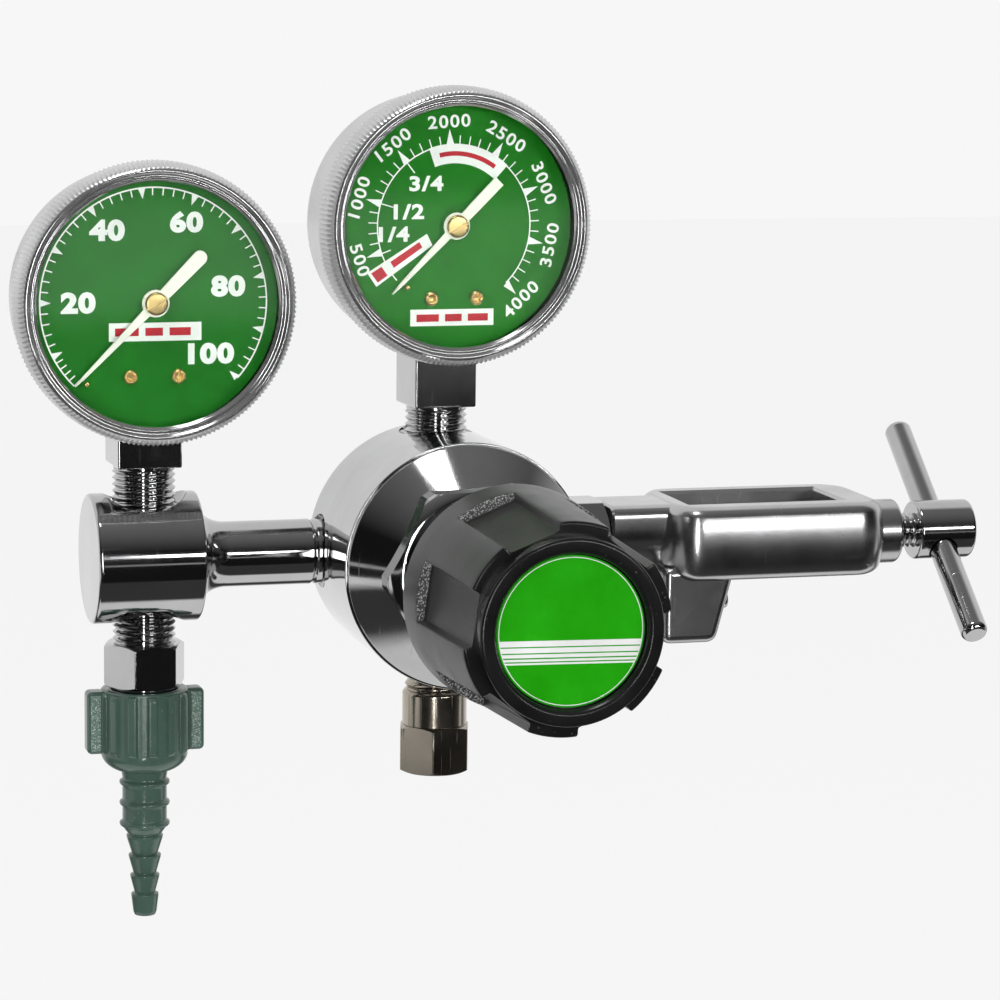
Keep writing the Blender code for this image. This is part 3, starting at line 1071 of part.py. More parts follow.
def clamp_screw():
    groove = CLAMP_RADIUS - RING_GROOVE_DEPTH
    groove_low = RING_X - CLEARANCE
    groove_high = RING_X + RING_THICKNESS + CLEARANCE
    profile = [
        (0, HEAD_END), (HEAD_RADIUS - HEAD_CHAMFER, HEAD_END), (HEAD_RADIUS, HEAD_END - HEAD_CHAMFER),
        (HEAD_RADIUS, HEAD_START + HEAD_CHAMFER), (HEAD_RADIUS - HEAD_CHAMFER, HEAD_START),
        (CLAMP_RADIUS, HEAD_START),
        (CLAMP_RADIUS, groove_high), (groove, groove_high), (groove, groove_low), (CLAMP_RADIUS, groove_low),
        (CLAMP_RADIUS, CLAMP_TIP_X + CLAMP_TIP_CONE), (CLAMP_TIP_FLAT, CLAMP_TIP_X), (0, CLAMP_TIP_X),
    ]
    screw = turned("clamp_screw", profile, CLAMP_AXIS, "chrome", MEDIUM_SEGMENTS)
    bar_axis = empty("bar_axis", BODY_CENTRE, location=(BAR_X, 0, 0), rotation=(BAR_TILT - QUARTER, 0, 0))
    half = BAR_LENGTH / 2
    cut(screw, prism("bar_hole", BAR_RADIUS + CLEARANCE, -2 * HEAD_RADIUS, 2 * HEAD_RADIUS, SMALL_SEGMENTS,
                     bar_axis))
    bar = [(0, half), (BAR_RADIUS - BAR_CHAMFER, half), (BAR_RADIUS, half - BAR_CHAMFER),
           (BAR_RADIUS, BAR_CHAMFER - half),
           (BAR_RADIUS - BAR_CHAMFER, -half), (0, -half)]
    turned("tommy_bar", bar, bar_axis, "chrome", SMALL_SEGMENTS)
    inner = groove + CLEARANCE
    ring = [(RING_RADIUS, RING_X + RING_THICKNESS), (RING_RADIUS, RING_X), (inner, RING_X),
            (inner, RING_X + RING_THICKNESS)]
    turned("retaining_ring", ring, CLAMP_AXIS, "steel", MEDIUM_SEGMENTS, closed=True)


# Gauges

def gauge_socket(name, frame, sizes):
    stem_bottom = sizes["stem_floor"] - PIPE_DEPTH - sizes["height"]
    block_bottom = -CASE_RADIUS - sizes["block_drop"]
    socket = box(name + "_socket", (-BLOCK_HALF, block_bottom, -BLOCK_HALF),
                 (BLOCK_HALF, BLOCK_TOP, BLOCK_HALF),
                 frame, "chrome")
    join(socket, box(name + "_post", (-POST_HALF, BLOCK_TOP - POST_LAP, POST_BACK),
                     (POST_HALF, POST_TOP, POST_FRONT), frame))
    dial_back = DIAL_FRONT - DIAL_THICKNESS
    screw_hole = DIAL_SCREW_SHANK + CLEARANCE
    for side in (-1, 1):
        place = (side * DIAL_SCREW_X, DIAL_SCREW_Y, 0)
        pillar = prism("%s_pillar_%d" % (name, side), PILLAR_RADIUS, POST_FRONT - POST_LAP,
                       dial_back - CLEARANCE,
                       TINY_SEGMENTS, frame, location=place)
        join(socket, pillar)
    thread = prism(name + "_thread", PIPE_RADIUS, stem_bottom, block_bottom + POST_LAP, MEDIUM_SEGMENTS,
                   frame,
                   rotation=(-QUARTER, 0, 0))
    join(socket, thread)
    for side in (-1, 1):
        place = (side * DIAL_SCREW_X, DIAL_SCREW_Y, 0)
        cut(socket, prism("%s_screw_hole_%d" % (name, side), screw_hole, dial_back - DIAL_SCREW_HOLE,
                          dial_back + CUT_OVER,
                          TINY_SEGMENTS, frame, location=place))
    cut(socket, prism(name + "_stem_bore", STEM_BORE, stem_bottom - CUT_OVER, STEM_BORE_END, TINY_SEGMENTS,
                      frame,
                      rotation=(-QUARTER, 0, 0)))
    for side, label in ((-1, "left"), (1, "right")):
        place = (side * DIAL_SCREW_X, DIAL_SCREW_Y, 0)
        head = DIAL_FRONT + CLEARANCE
        head_top = head + DIAL_SCREW_HEIGHT
        shank_end = dial_back - DIAL_SCREW_LENGTH
        screw = [(0, head_top), (DIAL_SCREW_HEAD - DIAL_SCREW_EDGE, head_top),
                 (DIAL_SCREW_HEAD, head + DIAL_SCREW_STRAIGHT),
                 (DIAL_SCREW_HEAD, head), (DIAL_SCREW_SHANK, head), (DIAL_SCREW_SHANK, shank_end),
                 (0, shank_end)]
        part = turned("%s_dial_screw_%s" % (name, label), screw, frame, "brass", TINY_SEGMENTS,
                      location=place)
        reach = DIAL_SCREW_HEAD + CUT_OVER
        slot = box("%s_screw_slot_%s" % (name, label),
                   (-reach, -DIAL_SCREW_SLOT, head + DIAL_SCREW_SLOT_FLOOR),
                   (reach, DIAL_SCREW_SLOT, head_top + CUT_OVER), frame, location=place,
                   rotation=(0, 0, side * DIAL_SCREW_TURN))
        cut(part, slot)


def gauge_case(name, frame):
    front = GLASS_FRONT - CRYSTAL_THICKNESS - CLEARANCE
    inner = CASE_RADIUS - CASE_WALL
    floor = CASE_BACK + CASE_WALL
    middle = CASE_ROUND * CASE_ROUND_MIDDLE
    profile = [(0, floor), (inner - CASE_ROUND, floor), (inner - middle, floor + middle),
               (inner, floor + CASE_ROUND),
               (inner, front), (CASE_RADIUS, front), (CASE_RADIUS, CASE_BACK + CASE_ROUND),
               (CASE_RADIUS - middle, CASE_BACK + middle), (CASE_RADIUS - CASE_ROUND, CASE_BACK),
               (0, CASE_BACK)]
    case = turned(name + "_case", profile, frame, "chrome", LARGE_SEGMENTS)
    slot = BLOCK_HALF + CLEARANCE
    cut(case, box(name + "_case_slot", (-slot, -CASE_RADIUS - CUT_OVER, -slot),
                  (slot, CASE_SLOT_DEPTH - CASE_RADIUS, slot), frame))
    back = GLASS_FRONT + BEZEL_LIP + CLEARANCE - BEZEL_DEPTH
    lip_back = GLASS_FRONT + CLEARANCE
    lip_front = lip_back + BEZEL_LIP
    bore = CASE_RADIUS + CLEARANCE
    bezel = [
        (GLASS_RADIUS, lip_front - BEZEL_EDGE), (GLASS_RADIUS + BEZEL_EDGE, lip_front),
        (BEZEL_RADIUS - BEZEL_CHAMFER, lip_front),
        (BEZEL_RADIUS, lip_front - BEZEL_CHAMFER), (BEZEL_RADIUS, back), (bore, back), (bore, lip_back),
        (GLASS_RADIUS, lip_back),
    ]
    turned(name + "_bezel", bezel, frame, "chrome", LARGE_SEGMENTS, closed=True)
    prism(name + "_crystal", CASE_RADIUS, GLASS_FRONT - CRYSTAL_THICKNESS, GLASS_FRONT, LARGE_SEGMENTS, frame,
          "glass")


def polar(radius, angle, centre=(0.0, 0.0)):
    return (centre[0] + radius * math.cos(angle), centre[1] + radius * math.sin(angle))


def gauge_dial(name, frame, sizes):
    back = DIAL_FRONT - DIAL_THICKNESS
    dial = prism(name + "_dial", DIAL_RADIUS, back, DIAL_FRONT, LARGE_SEGMENTS, frame, "dial_green")
    cut(dial, prism(name + "_dial_hole", ARBOR_RADIUS + DIAL_HOLE_GAP, back - CUT_OVER, DIAL_FRONT + CUT_OVER,
                    TINY_SEGMENTS, frame))
    for side in (-1, 1):
        cut(dial, prism("%s_dial_screw_hole_%d" % (name, side), DIAL_SCREW_SHANK + CLEARANCE, back - CUT_OVER,
                        DIAL_FRONT + CUT_OVER, TINY_SEGMENTS, frame,
                        location=(side * DIAL_SCREW_X, DIAL_SCREW_Y, 0)))
    beside = STOP_PIN_RADIUS + STOP_PIN_GAP
    along = polar(CASE_RADIUS - sizes["stop_gap"], ZERO_ANGLE)
    place = (*polar(beside, ZERO_ANGLE + QUARTER, along), 0)
    cut(dial, prism(name + "_stop_hole", STOP_PIN_RADIUS + CLEARANCE, back - CUT_OVER, DIAL_FRONT + CUT_OVER,
                    TINY_SEGMENTS,
                    frame, location=place))
    prism(name + "_stop_pin", STOP_PIN_RADIUS, back, DIAL_FRONT + STOP_PIN_HEIGHT, TINY_SEGMENTS, frame,
          "brass", location=place)


def gauge_pointer(name, frame, sizes):
    tip = CASE_RADIUS - sizes["tip_gap"]
    tail = sizes["tail"]
    tip_start = tip - POINTER_TIP_LENGTH
    cap = ARBOR_CAP_RADIUS + POINTER_RIM
    outline = [(-tail, -POINTER_TAIL_HALF), (-tail, POINTER_TAIL_HALF), (-cap, POINTER_TAIL_HALF)]
    outline += arc((0, 0), cap, math.pi - POINTER_ARC, POINTER_ARC, POINTER_ARC_STEPS)
    outline += [(tip_start, POINTER_TIP_HALF), (tip, 0.0), (tip_start, -POINTER_TIP_HALF)]
    outline += arc((0, 0), cap, -POINTER_ARC, POINTER_ARC - math.pi, POINTER_ARC_STEPS)
    outline += [(-cap, -POINTER_TAIL_HALF)]
    pointer = slab(name + "_pointer", outline, POINTER_BACK, POINTER_BACK + POINTER_THICKNESS, frame,
                   "pointer_white",
                   rotation=(0, 0, ZERO_ANGLE))
    cut(pointer, prism(name + "_pointer_hole", ARBOR_RADIUS + CLEARANCE, POINTER_BACK - CUT_OVER,
                       POINTER_BACK + CUT_OVER,
                       TINY_SEGMENTS, frame))
    cap_back = POINTER_BACK + POINTER_THICKNESS + CLEARANCE
    cap_front = cap_back + ARBOR_CAP_HEIGHT
    pinion_back = SECTOR_BACK - PINION_OVER
    pinion_front = SECTOR_BACK + SECTOR_THICKNESS + PINION_OVER
    arbor = [(0, cap_front), (ARBOR_CAP_RADIUS - ARBOR_CAP_EDGE, cap_front),
             (ARBOR_CAP_RADIUS, cap_front - ARBOR_CAP_EDGE), (ARBOR_CAP_RADIUS, cap_back),
             (ARBOR_RADIUS, cap_back), (ARBOR_RADIUS, pinion_front), (PINION_RADIUS, pinion_front),
             (PINION_RADIUS, pinion_back),
             (ARBOR_RADIUS, pinion_back), (ARBOR_RADIUS, FRAME_BACK), (0, FRAME_BACK)]
    part = turned(name + "_pointer_arbor", arbor, frame, "brass", SMALL_SEGMENTS)
    reach = ARBOR_CAP_RADIUS + CUT_OVER
    cut(part, box(name + "_arbor_slot", (-reach, -ARBOR_SLOT_HALF, cap_front - ARBOR_SLOT_DEPTH),
                  (reach, ARBOR_SLOT_HALF, cap_front + CUT_OVER), frame, rotation=(0, 0, ARBOR_SLOT_TURN)))


def gauge_movement(name, frame):
    bearing = ARBOR_RADIUS + CLEARANCE
    movement = box(name + "_movement_frame", (-FRAME_HALF_WIDTH, POST_TOP + CLEARANCE, FRAME_BACK),
                   (FRAME_HALF_WIDTH, FRAME_TOP, FRAME_BACK + FRAME_PLATE), frame, "brass")
    join(movement, box(name + "_front_plate", (-FRAME_HALF_WIDTH, SECTOR_PIVOT_Y - FRAME_PLATE_MARGIN,
                                               FRAME_FRONT - FRAME_PLATE),
                       (FRAME_HALF_WIDTH, FRAME_TOP, FRAME_FRONT), frame))
    for side in (-1, 1):
        place = (side * (FRAME_HALF_WIDTH - FRAME_PILLAR_INSET), FRAME_TOP - FRAME_PILLAR_DROP, 0)
        pillar = prism("%s_frame_pillar_%d" % (name, side), FRAME_PILLAR_RADIUS,
                       FRAME_BACK + FRAME_PILLAR_SINK,
                       FRAME_FRONT - FRAME_PILLAR_SINK, TINY_SEGMENTS, frame, location=place)
        join(movement, pillar)
    for label, y in (("arbor", 0.0), ("sector", SECTOR_PIVOT_Y)):
        cut(movement, prism("%s_%s_bearing" % (name, label), bearing, FRAME_BACK - CUT_OVER,
                            FRAME_FRONT + CUT_OVER,
                            TINY_SEGMENTS, frame, location=(0, y, 0)))
    spread = SECTOR_SWING / 2 + SECTOR_SPARE
    rest = -SECTOR_SWING / 2
    outline = arc((0, 0), SECTOR_RADIUS, QUARTER - spread, QUARTER + spread, SECTOR_STEPS)
    outline += [(-SECTOR_NECK_HALF, SECTOR_NECK), (-SECTOR_TAIL_HALF, -SECTOR_TAIL),
                (0, -SECTOR_TAIL - SECTOR_TAIL_END),
                (SECTOR_TAIL_HALF, -SECTOR_TAIL), (SECTOR_NECK_HALF, SECTOR_NECK)]
    sector = slab(name + "_sector_gear", outline, SECTOR_BACK, SECTOR_BACK + SECTOR_THICKNESS, frame, "brass",
                  location=(0, SECTOR_PIVOT_Y, 0), rotation=(0, 0, rest))
    join(sector, prism(name + "_sector_shaft", ARBOR_RADIUS, FRAME_BACK, FRAME_FRONT, TINY_SEGMENTS, frame,
                       location=(0, SECTOR_PIVOT_Y, 0)))
    tail_y = SECTOR_PIVOT_Y - SECTOR_TAIL
    tail_x = SECTOR_TAIL * math.sin(rest)
    tip_x = math.sqrt(TUBE_RADIUS ** 2 - tail_y ** 2)
    box(name + "_link", (tail_x - LINK_SECTOR_LAP, tail_y - LINK_HALF_WIDTH, LINK_BACK),
        (tip_x + LINK_TUBE_LAP, tail_y + LINK_HALF_WIDTH, LINK_BACK + LINK_THICKNESS), frame, "brass")


def gauge_tube(name, frame):
    """The flattened tube: an open oval swept on an arc, closed at its tip and open at its root."""
    tail_y = SECTOR_PIVOT_Y - SECTOR_TAIL
    tip_angle = math.asin(tail_y / TUBE_RADIUS)
    root_x = POST_HALF + CLEARANCE
    root_angle = -QUARTER - math.asin(root_x / (TUBE_RADIUS - TUBE_THICKNESS / 2)) - TUBE_ROOT_SPARE
    half_width = TUBE_WIDTH / 2
    half_thick = TUBE_THICKNESS / 2
    middle = TUBE_FRONT - half_width
    oval = [(half_thick, -TUBE_ROUNDING), (half_thick, TUBE_ROUNDING), (0, 1.0),
            (-half_thick, TUBE_ROUNDING), (-half_thick, -TUBE_ROUNDING), (0, -1.0)]
    sweep = tip_angle - (root_angle + 2 * math.pi)
    shape = bmesh.new()
    rings = []
    for i in range(TUBE_STEPS + 1):
        angle = root_angle + sweep * i / TUBE_STEPS
        ring = []
        for offset, across in oval:
            x, y = polar(TUBE_RADIUS + offset, angle)
            ring.append(shape.verts.new((x, y, middle + across * half_width)))
        rings.append(ring)
    count = len(oval)
    for low, high in zip(rings, rings[1:]):
        for i in range(count):
            shape.faces.new((low[i], low[(i + 1) % count], high[(i + 1) % count], high[i]))
    shape.faces.new(rings[-1])
    bmesh.ops.recalc_face_normals(shape, faces=shape.faces)
    tube = from_bmesh(name + "_bourdon_tube", shape, frame, "brass")
    shell = tube.modifiers.new("wall", "SOLIDIFY")
    shell.thickness = TUBE_WALL
    shell.offset = -1.0


def gauge(name):
    sizes = GAUGES[name]
    frame = empty(name + "_gauge_axis", BODY_CENTRE, location=(sizes["x"], 0, sizes["height"]),
                  rotation=(QUARTER, 0, sizes["turn"]))
    gauge_socket(name, frame, sizes)
    gauge_case(name, frame)
    gauge_dial(name, frame, sizes)
    gauge_pointer(name, frame, sizes)
    gauge_movement(name, frame)
    gauge_tube(name, frame)


def settle(obj, depsgraph):
    """Replace an object's modifiers or curve by its finished mesh, shaded smooth with sharp edges."""
    mesh = bpy.data.meshes.new_from_object(obj.evaluated_get(depsgraph))
    shape = bmesh.new()
    shape.from_mesh(mesh)
    bmesh.ops.remove_doubles(shape, verts=shape.verts, dist=MERGE)
    shape.to_mesh(mesh)
    shape.free()
    mesh.shade_smooth()
    mesh.set_sharp_from_angle(angle=SMOOTH_ANGLE)
    return mesh


def settle_all():
    bpy.context.view_layer.update()
    depsgraph = bpy.context.evaluated_depsgraph_get()
    solids = [obj for obj in PARTS.objects if obj.type in {"MESH", "CURVE"}]
    meshes = [settle(obj, depsgraph) for obj in solids]
    for obj, mesh in zip(solids, meshes):
        if obj.type == "CURVE":
            name = obj.name
            made = bpy.data.objects.new(name + "_wire", mesh)
            PARTS.objects.link(made)
            made.parent = obj.parent
            made.location = obj.location
            made.rotation_euler = obj.rotation_euler
            bpy.data.objects.remove(obj)
            made.name = name
        else:
            obj.modifiers.clear()
            obj.data = mesh


regulator_body()
bonnet()
diaphragm_set()
adjusting_knob()
high_pressure_valve()
outlet_manifold()
outlet_nipple()
wing_nut()
hose_barb()
relief_valve()
inlet_stem()
yoke_frame()
inlet_nipple()
clamp_screw()
for gauge_name in GAUGES:
    gauge(gauge_name)
settle_all()
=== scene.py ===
"""Oxygen regulator: the visible pieces, finishes, light and camera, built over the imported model.

Shapes are drawn in millimetres in a piece's own frame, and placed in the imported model's frame in metres.
"""

import json
import math

import bmesh
import bpy
from bpy.props import FloatProperty, FloatVectorProperty, IntProperty, PointerProperty
from mathutils import Matrix, Vector


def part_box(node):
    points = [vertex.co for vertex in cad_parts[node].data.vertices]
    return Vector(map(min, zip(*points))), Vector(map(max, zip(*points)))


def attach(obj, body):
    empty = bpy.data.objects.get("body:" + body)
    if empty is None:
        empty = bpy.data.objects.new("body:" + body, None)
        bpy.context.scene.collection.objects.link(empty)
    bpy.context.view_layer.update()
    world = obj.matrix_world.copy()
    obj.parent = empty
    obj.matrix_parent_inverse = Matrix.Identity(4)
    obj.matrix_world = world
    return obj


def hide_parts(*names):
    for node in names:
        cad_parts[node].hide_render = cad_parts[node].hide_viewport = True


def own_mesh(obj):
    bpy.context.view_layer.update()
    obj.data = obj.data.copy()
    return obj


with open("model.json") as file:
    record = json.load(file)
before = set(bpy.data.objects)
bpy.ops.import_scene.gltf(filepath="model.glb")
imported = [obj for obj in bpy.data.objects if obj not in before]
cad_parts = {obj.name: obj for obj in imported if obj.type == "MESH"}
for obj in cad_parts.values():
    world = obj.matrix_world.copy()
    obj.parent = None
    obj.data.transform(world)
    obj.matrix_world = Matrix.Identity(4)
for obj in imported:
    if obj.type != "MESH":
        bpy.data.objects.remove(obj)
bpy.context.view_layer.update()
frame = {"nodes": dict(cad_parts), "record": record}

bl_info = {
    "name": "Oxygen regulator",
    "version": (1, 0, 0),
    "blender": (4, 5, 0),
    "location": "3D View > Sidebar > Regulator",
    "description": "Dresses the packed oxygen regulator in its visible pieces, finishes, light and camera",
    "category": "Object",
}

mm = 0.001
TURN = 2 * math.pi
SEGMENTS = 144
SMALL_SEGMENTS = 64
PIN_SEGMENTS = 24
SHARP_ANGLE = math.radians(32)
MERGE = 0.0008
CLEARANCE = 0.3
CUT_OVER = 2.0
# Height of a hexagon's chamfer, as a share of its corners' reach past its flats
HEX_DROP = 0.7
THREAD_STEPS = 8
CREST_POWER = 0.8


# Frames in millimetres, whose +Z runs along a piece's own axis

def shift(x=0.0, y=0.0, z=0.0):
    return Matrix.Translation((x, y, z))


def turned_by(degrees, axis):
    return Matrix.Rotation(math.radians(degrees), 4, axis)


def middle(node):
    low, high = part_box(node)
    return (low + high) / 2 / mm


BODY = shift(middle("regulator_body").x)
FRONT_TURN = turned_by(90, "X")
CLAMP_TURN = turned_by(90, "Y")
FRONT = BODY @ FRONT_TURN
CLAMP = BODY @ CLAMP_TURN
OUTLET_X = middle("wing_nut").x - middle("regulator_body").x
OUTLET = BODY @ shift(OUTLET_X)
RELIEF = BODY @ shift(0.35)
BAR_TILT = 39.3
BAR = BODY @ shift(119.7) @ turned_by(BAR_TILT - 90, "X")
GAUGE_TURNS = {"outlet": 1.3, "contents": 3.4}


def gauge_frame(gauge):
    height = {"outlet": 56.3, "contents": 72.0}[gauge]
    across = {"outlet": OUTLET_X, "contents": 0.0}[gauge]
    return BODY @ shift(across, 0, height) @ turned_by(GAUGE_TURNS[gauge], "Z") @ FRONT_TURN


# Shapes

def lathe(profile, segments=SEGMENTS, closed=False):
    """A turned shape: (radius, height) points of its section, spun round Z."""
    angles = [TURN * i / segments for i in range(segments)]
    return loft([(height, radius) for radius, height in profile], angles, closed)


def loft(levels, angles, closed=False):
    """A skin through (height, radius) levels, where a radius is one number or one for each angle."""
    shape = bmesh.new()
    rings = []
    for height, radius in levels:
        if isinstance(radius, (int, float)):
            radius = [radius] * len(angles) if radius > 1e-6 else None
        if radius is None:
            rings.append([shape.verts.new((0, 0, height))])
        else:
            points = [(r * math.cos(a), r * math.sin(a), height) for r, a in zip(radius, angles)]
            rings.append([shape.verts.new(point) for point in points])
    pairs = list(zip(rings, rings[1:]))
    if closed:
        pairs.append((rings[-1], rings[0]))
    for low, high in pairs:
        for i in range(max(len(low), len(high))):
            j = i + 1
            corners = [low[i % len(low)], low[j % len(low)], high[j % len(high)], high[i % len(high)]]
            corners = list(dict.fromkeys(corners))
            if len(corners) > 2:
                shape.faces.new(corners)
    bmesh.ops.recalc_face_normals(shape, faces=shape.faces)
    return shape


def soften(profile, width=0.4, closed=False, steps=3):
    """Rounds a section's corners; a point's third number is its own rounding."""
    points = [Vector(point[:2]) for point in profile]
    widths = [point[2] if len(point) > 2 else width for point in profile]
    count = len(points)
    rounded = []
    for i, point in enumerate(points):
        before = points[i - 1] - point
        after = points[(i + 1) % count] - point
        reach = min(widths[i], 0.45 * before.length, 0.45 * after.length)
        end = not closed and i in (0, count - 1)
        if end or reach < 0.01 or before.angle(after) > math.radians(168):
            rounded.append(tuple(point))
            continue
        start = point + before.normalized() * reach
        finish = point + after.normalized() * reach
        for step in range(steps + 1):
            t = step / steps
            rounded.append(tuple(start * (1 - t) ** 2 + point * 2 * t * (1 - t) + finish * t ** 2))
    return rounded


def turned(section, rounding=0.4, closed=False, steps=3, segments=SMALL_SEGMENTS):
    """A turned shape whose section's corners are rounded first."""
    return lathe(soften(section, rounding, closed, steps), segments, closed)


def rod(radius, low, high, segments=SMALL_SEGMENTS):
    return lathe([(0, low), (radius, low), (radius, high), (0, high)], segments)


def block(low, high, edge=0.0, steps=3):
    """A box, with rounded edges where edge isn't zero."""
    size = [b - a for a, b in zip(low, high)]
    centre = [(a + b) / 2 for a, b in zip(low, high)]
    shape = bmesh.new()
    bmesh.ops.create_cube(shape, size=1.0, matrix=shift(*centre) @ Matrix.Diagonal((*size, 1.0)))
    if edge:
        bmesh.ops.bevel(shape, geom=shape.edges, offset=edge, segments=steps, profile=0.5, affect="EDGES")
    return shape


def slab(outline, levels):
    """A flat outline carried up through (height, inset) levels; the inset draws its edge inwards."""
    shape = bmesh.new()
    points = [Vector(point) for point in outline]
    count = len(points)
    area = sum(a.x * b.y - b.x * a.y for a, b in zip(points, points[1:] + points[:1]))
    inward = 1 if area > 0 else -1
    normals = []
    for i, point in enumerate(points):
        along = (points[(i + 1) % count] - point).normalized() + (point - points[i - 1]).normalized()
        along.normalize()
        normals.append(Vector((-along.y, along.x)) * inward)
    rings = []
    for height, inset in levels:
        ring = [point + normal * inset for point, normal in zip(points, normals)]
        rings.append([shape.verts.new((x, y, height)) for x, y in ring])
    for low, high in zip(rings, rings[1:]):
        for i in range(count):
            j = (i + 1) % count
            shape.faces.new((low[i], low[j], high[j], high[i]))
    shape.faces.new(rings[0])
    shape.faces.new(rings[-1])
    bmesh.ops.recalc_face_normals(shape, faces=shape.faces)
    return shape


def edge_levels(low, high, edge, crown=0.0, steps=5):
    """Levels of a slab with rounded rims and a crowned side."""
    centre = (low + high) / 2
    half = (high - low) / 2
    heights = [low + edge * (1 - math.cos(i * math.pi / 2 / steps)) for i in range(steps + 1)]
    inner = [low + edge + (high - low - 2 * edge) * i / 8 for i in range(1, 8)]
    heights = heights + inner + [low + high - height for height in reversed(heights)]
    levels = []
    for height in heights:
        rim = max(0.0, edge - (half - abs(height - centre)))
        rounding = edge - math.sqrt(max(0.0, edge ** 2 - rim ** 2))
        levels.append((height, rounding + crown * ((height - centre) / half) ** 2))
    return levels


def arc(centre, radius, start, end, steps):
    """Points round a centre, from one angle to another in radians."""
    angles = [start + (end - start) * i / steps for i in range(steps + 1)]
    return [(centre[0] + radius * math.cos(angle), centre[1] + radius * math.sin(angle)) for angle in angles]


def polar(radius, degrees):
    angle = math.radians(degrees)
    return radius * math.cos(angle), radius * math.sin(angle)


def moved(shape, matrix):
    bmesh.ops.transform(shape, matrix=matrix, verts=shape.verts)
    return shape


def together(*shapes):
    """Several shapes in one mesh, without cutting them."""
    joined = bmesh.new()
    for shape in shapes:
        mesh = bpy.data.meshes.new("shape")
        shape.to_mesh(mesh)
        shape.free()
        joined.from_mesh(mesh)
        bpy.data.meshes.remove(mesh)
    return joined


def held(shape):
    mesh = bpy.data.meshes.new("shape")
    shape.to_mesh(mesh)
    shape.free()
    obj = bpy.data.objects.new("shape", mesh)
    bpy.context.scene.collection.objects.link(obj)
    return obj


def combine(base, *steps):
    """A shape after its (operation, other shape) steps: UNION, DIFFERENCE or INTERSECT."""
    body = held(base)
    tools = []
    for operation, shape in steps:
        tool = held(shape)
        boolean = body.modifiers.new(operation, "BOOLEAN")
        boolean.operation = operation
        boolean.object = tool
        boolean.solver = "EXACT"
        tools.append(tool)
    bpy.context.view_layer.update()
    done = bmesh.new()
    done.from_object(body, bpy.context.evaluated_depsgraph_get())
    for obj in [body] + tools:
        mesh = obj.data
        bpy.data.objects.remove(obj)
        bpy.data.meshes.remove(mesh)
    if not done.faces:
        raise RuntimeError("a boolean step left nothing")
    return done


def hexagon(flats, low, high, turn=0.0, chamfered=True, edge=0.25):
    """A nut or bolt hexagon; a chamfered one has its corners turned off at both ends."""
    corner = flats / math.sqrt(3)
    shape = bmesh.new()
    place = shift(0, 0, (low + high) / 2) @ turned_by(turn, "Z")
    bmesh.ops.create_cone(shape, cap_ends=True, segments=6, radius1=corner, radius2=corner,
                          depth=high - low, matrix=place)
    uprights = [e for e in shape.edges if abs(e.verts[0].co.z - e.verts[1].co.z) > 0.5 * (high - low)]
    bmesh.ops.bevel(shape, geom=uprights, offset=edge, segments=3, profile=0.5, affect="EDGES")
    drop = HEX_DROP * (corner - flats / 2)
    inner = flats / 2 - 0.2
    outer = corner + 0.1
    if chamfered:
        trim = [(0, low), (inner, low), (outer, low + drop), (outer, high - drop), (inner, high), (0, high)]
    else:
        trim = [(0, low - 1), (outer, low - 1), (outer, high + 1), (0, high + 1)]
    return combine(shape, ("INTERSECT", lathe(trim, SMALL_SEGMENTS)))


def thread(radius, low, high, pitch, depth, segments=60):
    """A right-handed screw thread with rounded crests."""
    angles = [TURN * i / segments for i in range(segments)]
    steps = max(2, round((high - low) / pitch * THREAD_STEPS))
    levels = [(low, 0)]
    for step in range(steps + 1):
        height = low + (high - low) * step / steps
        radii = []
        for angle in angles:
            phase = (height / pitch - angle / TURN) % 1.0
            radii.append(radius - depth * (0.5 - 0.5 * math.cos(TURN * phase)) ** CREST_POWER)
        levels.append((height, radii))
    levels.append((high, 0))
    return loft(levels, angles)


def pipe_thread(radius, low, high, coarser=1.0):
    """A thread of the panel's depth, and of its pitch or a coarser one."""
    sizes = details()
    return thread(radius, low, high, coarser * sizes.pipe_pitch / mm, sizes.thread_depth / mm)


# Pieces

def piece(name, shape, place, finishes, body, node=None, pick=None):
    """A finished object in metres, with its body and the node that it stands for."""
    bmesh.ops.remove_doubles(shape, verts=shape.verts, dist=MERGE)
    if pick:
        shape.normal_update()
        for face in shape.faces:
            face.material_index = pick(face.calc_center_median(), face.normal)
    mesh = bpy.data.meshes.new(name)
    shape.to_mesh(mesh)
    shape.free()
    mesh.transform(Matrix.Scale(mm, 4) @ place)
    for finish in [finishes] if isinstance(finishes, str) else finishes:
        mesh.materials.append(bpy.data.materials[finish])
    mesh.shade_smooth()
    mesh.set_sharp_from_angle(angle=SHARP_ANGLE)
    obj = bpy.data.objects.new(name, mesh)
    bpy.context.scene.collection.objects.link(obj)
    shading = obj.modifiers.new("even_shading", "WEIGHTED_NORMAL")
    shading.keep_sharp = True
    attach(obj, body)
    if node:
        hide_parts(node)
    return obj


# Sizes and colours that a user would change

def tone(name, description, value):
    return FloatVectorProperty(name=name, description=description, subtype="COLOR", default=value)


def length(name, description, value):
    return FloatProperty(name=name, description=description, unit="LENGTH", default=value * mm)


def power(name, description, value):
    return FloatProperty(name=name, description=description, unit="POWER", default=value)


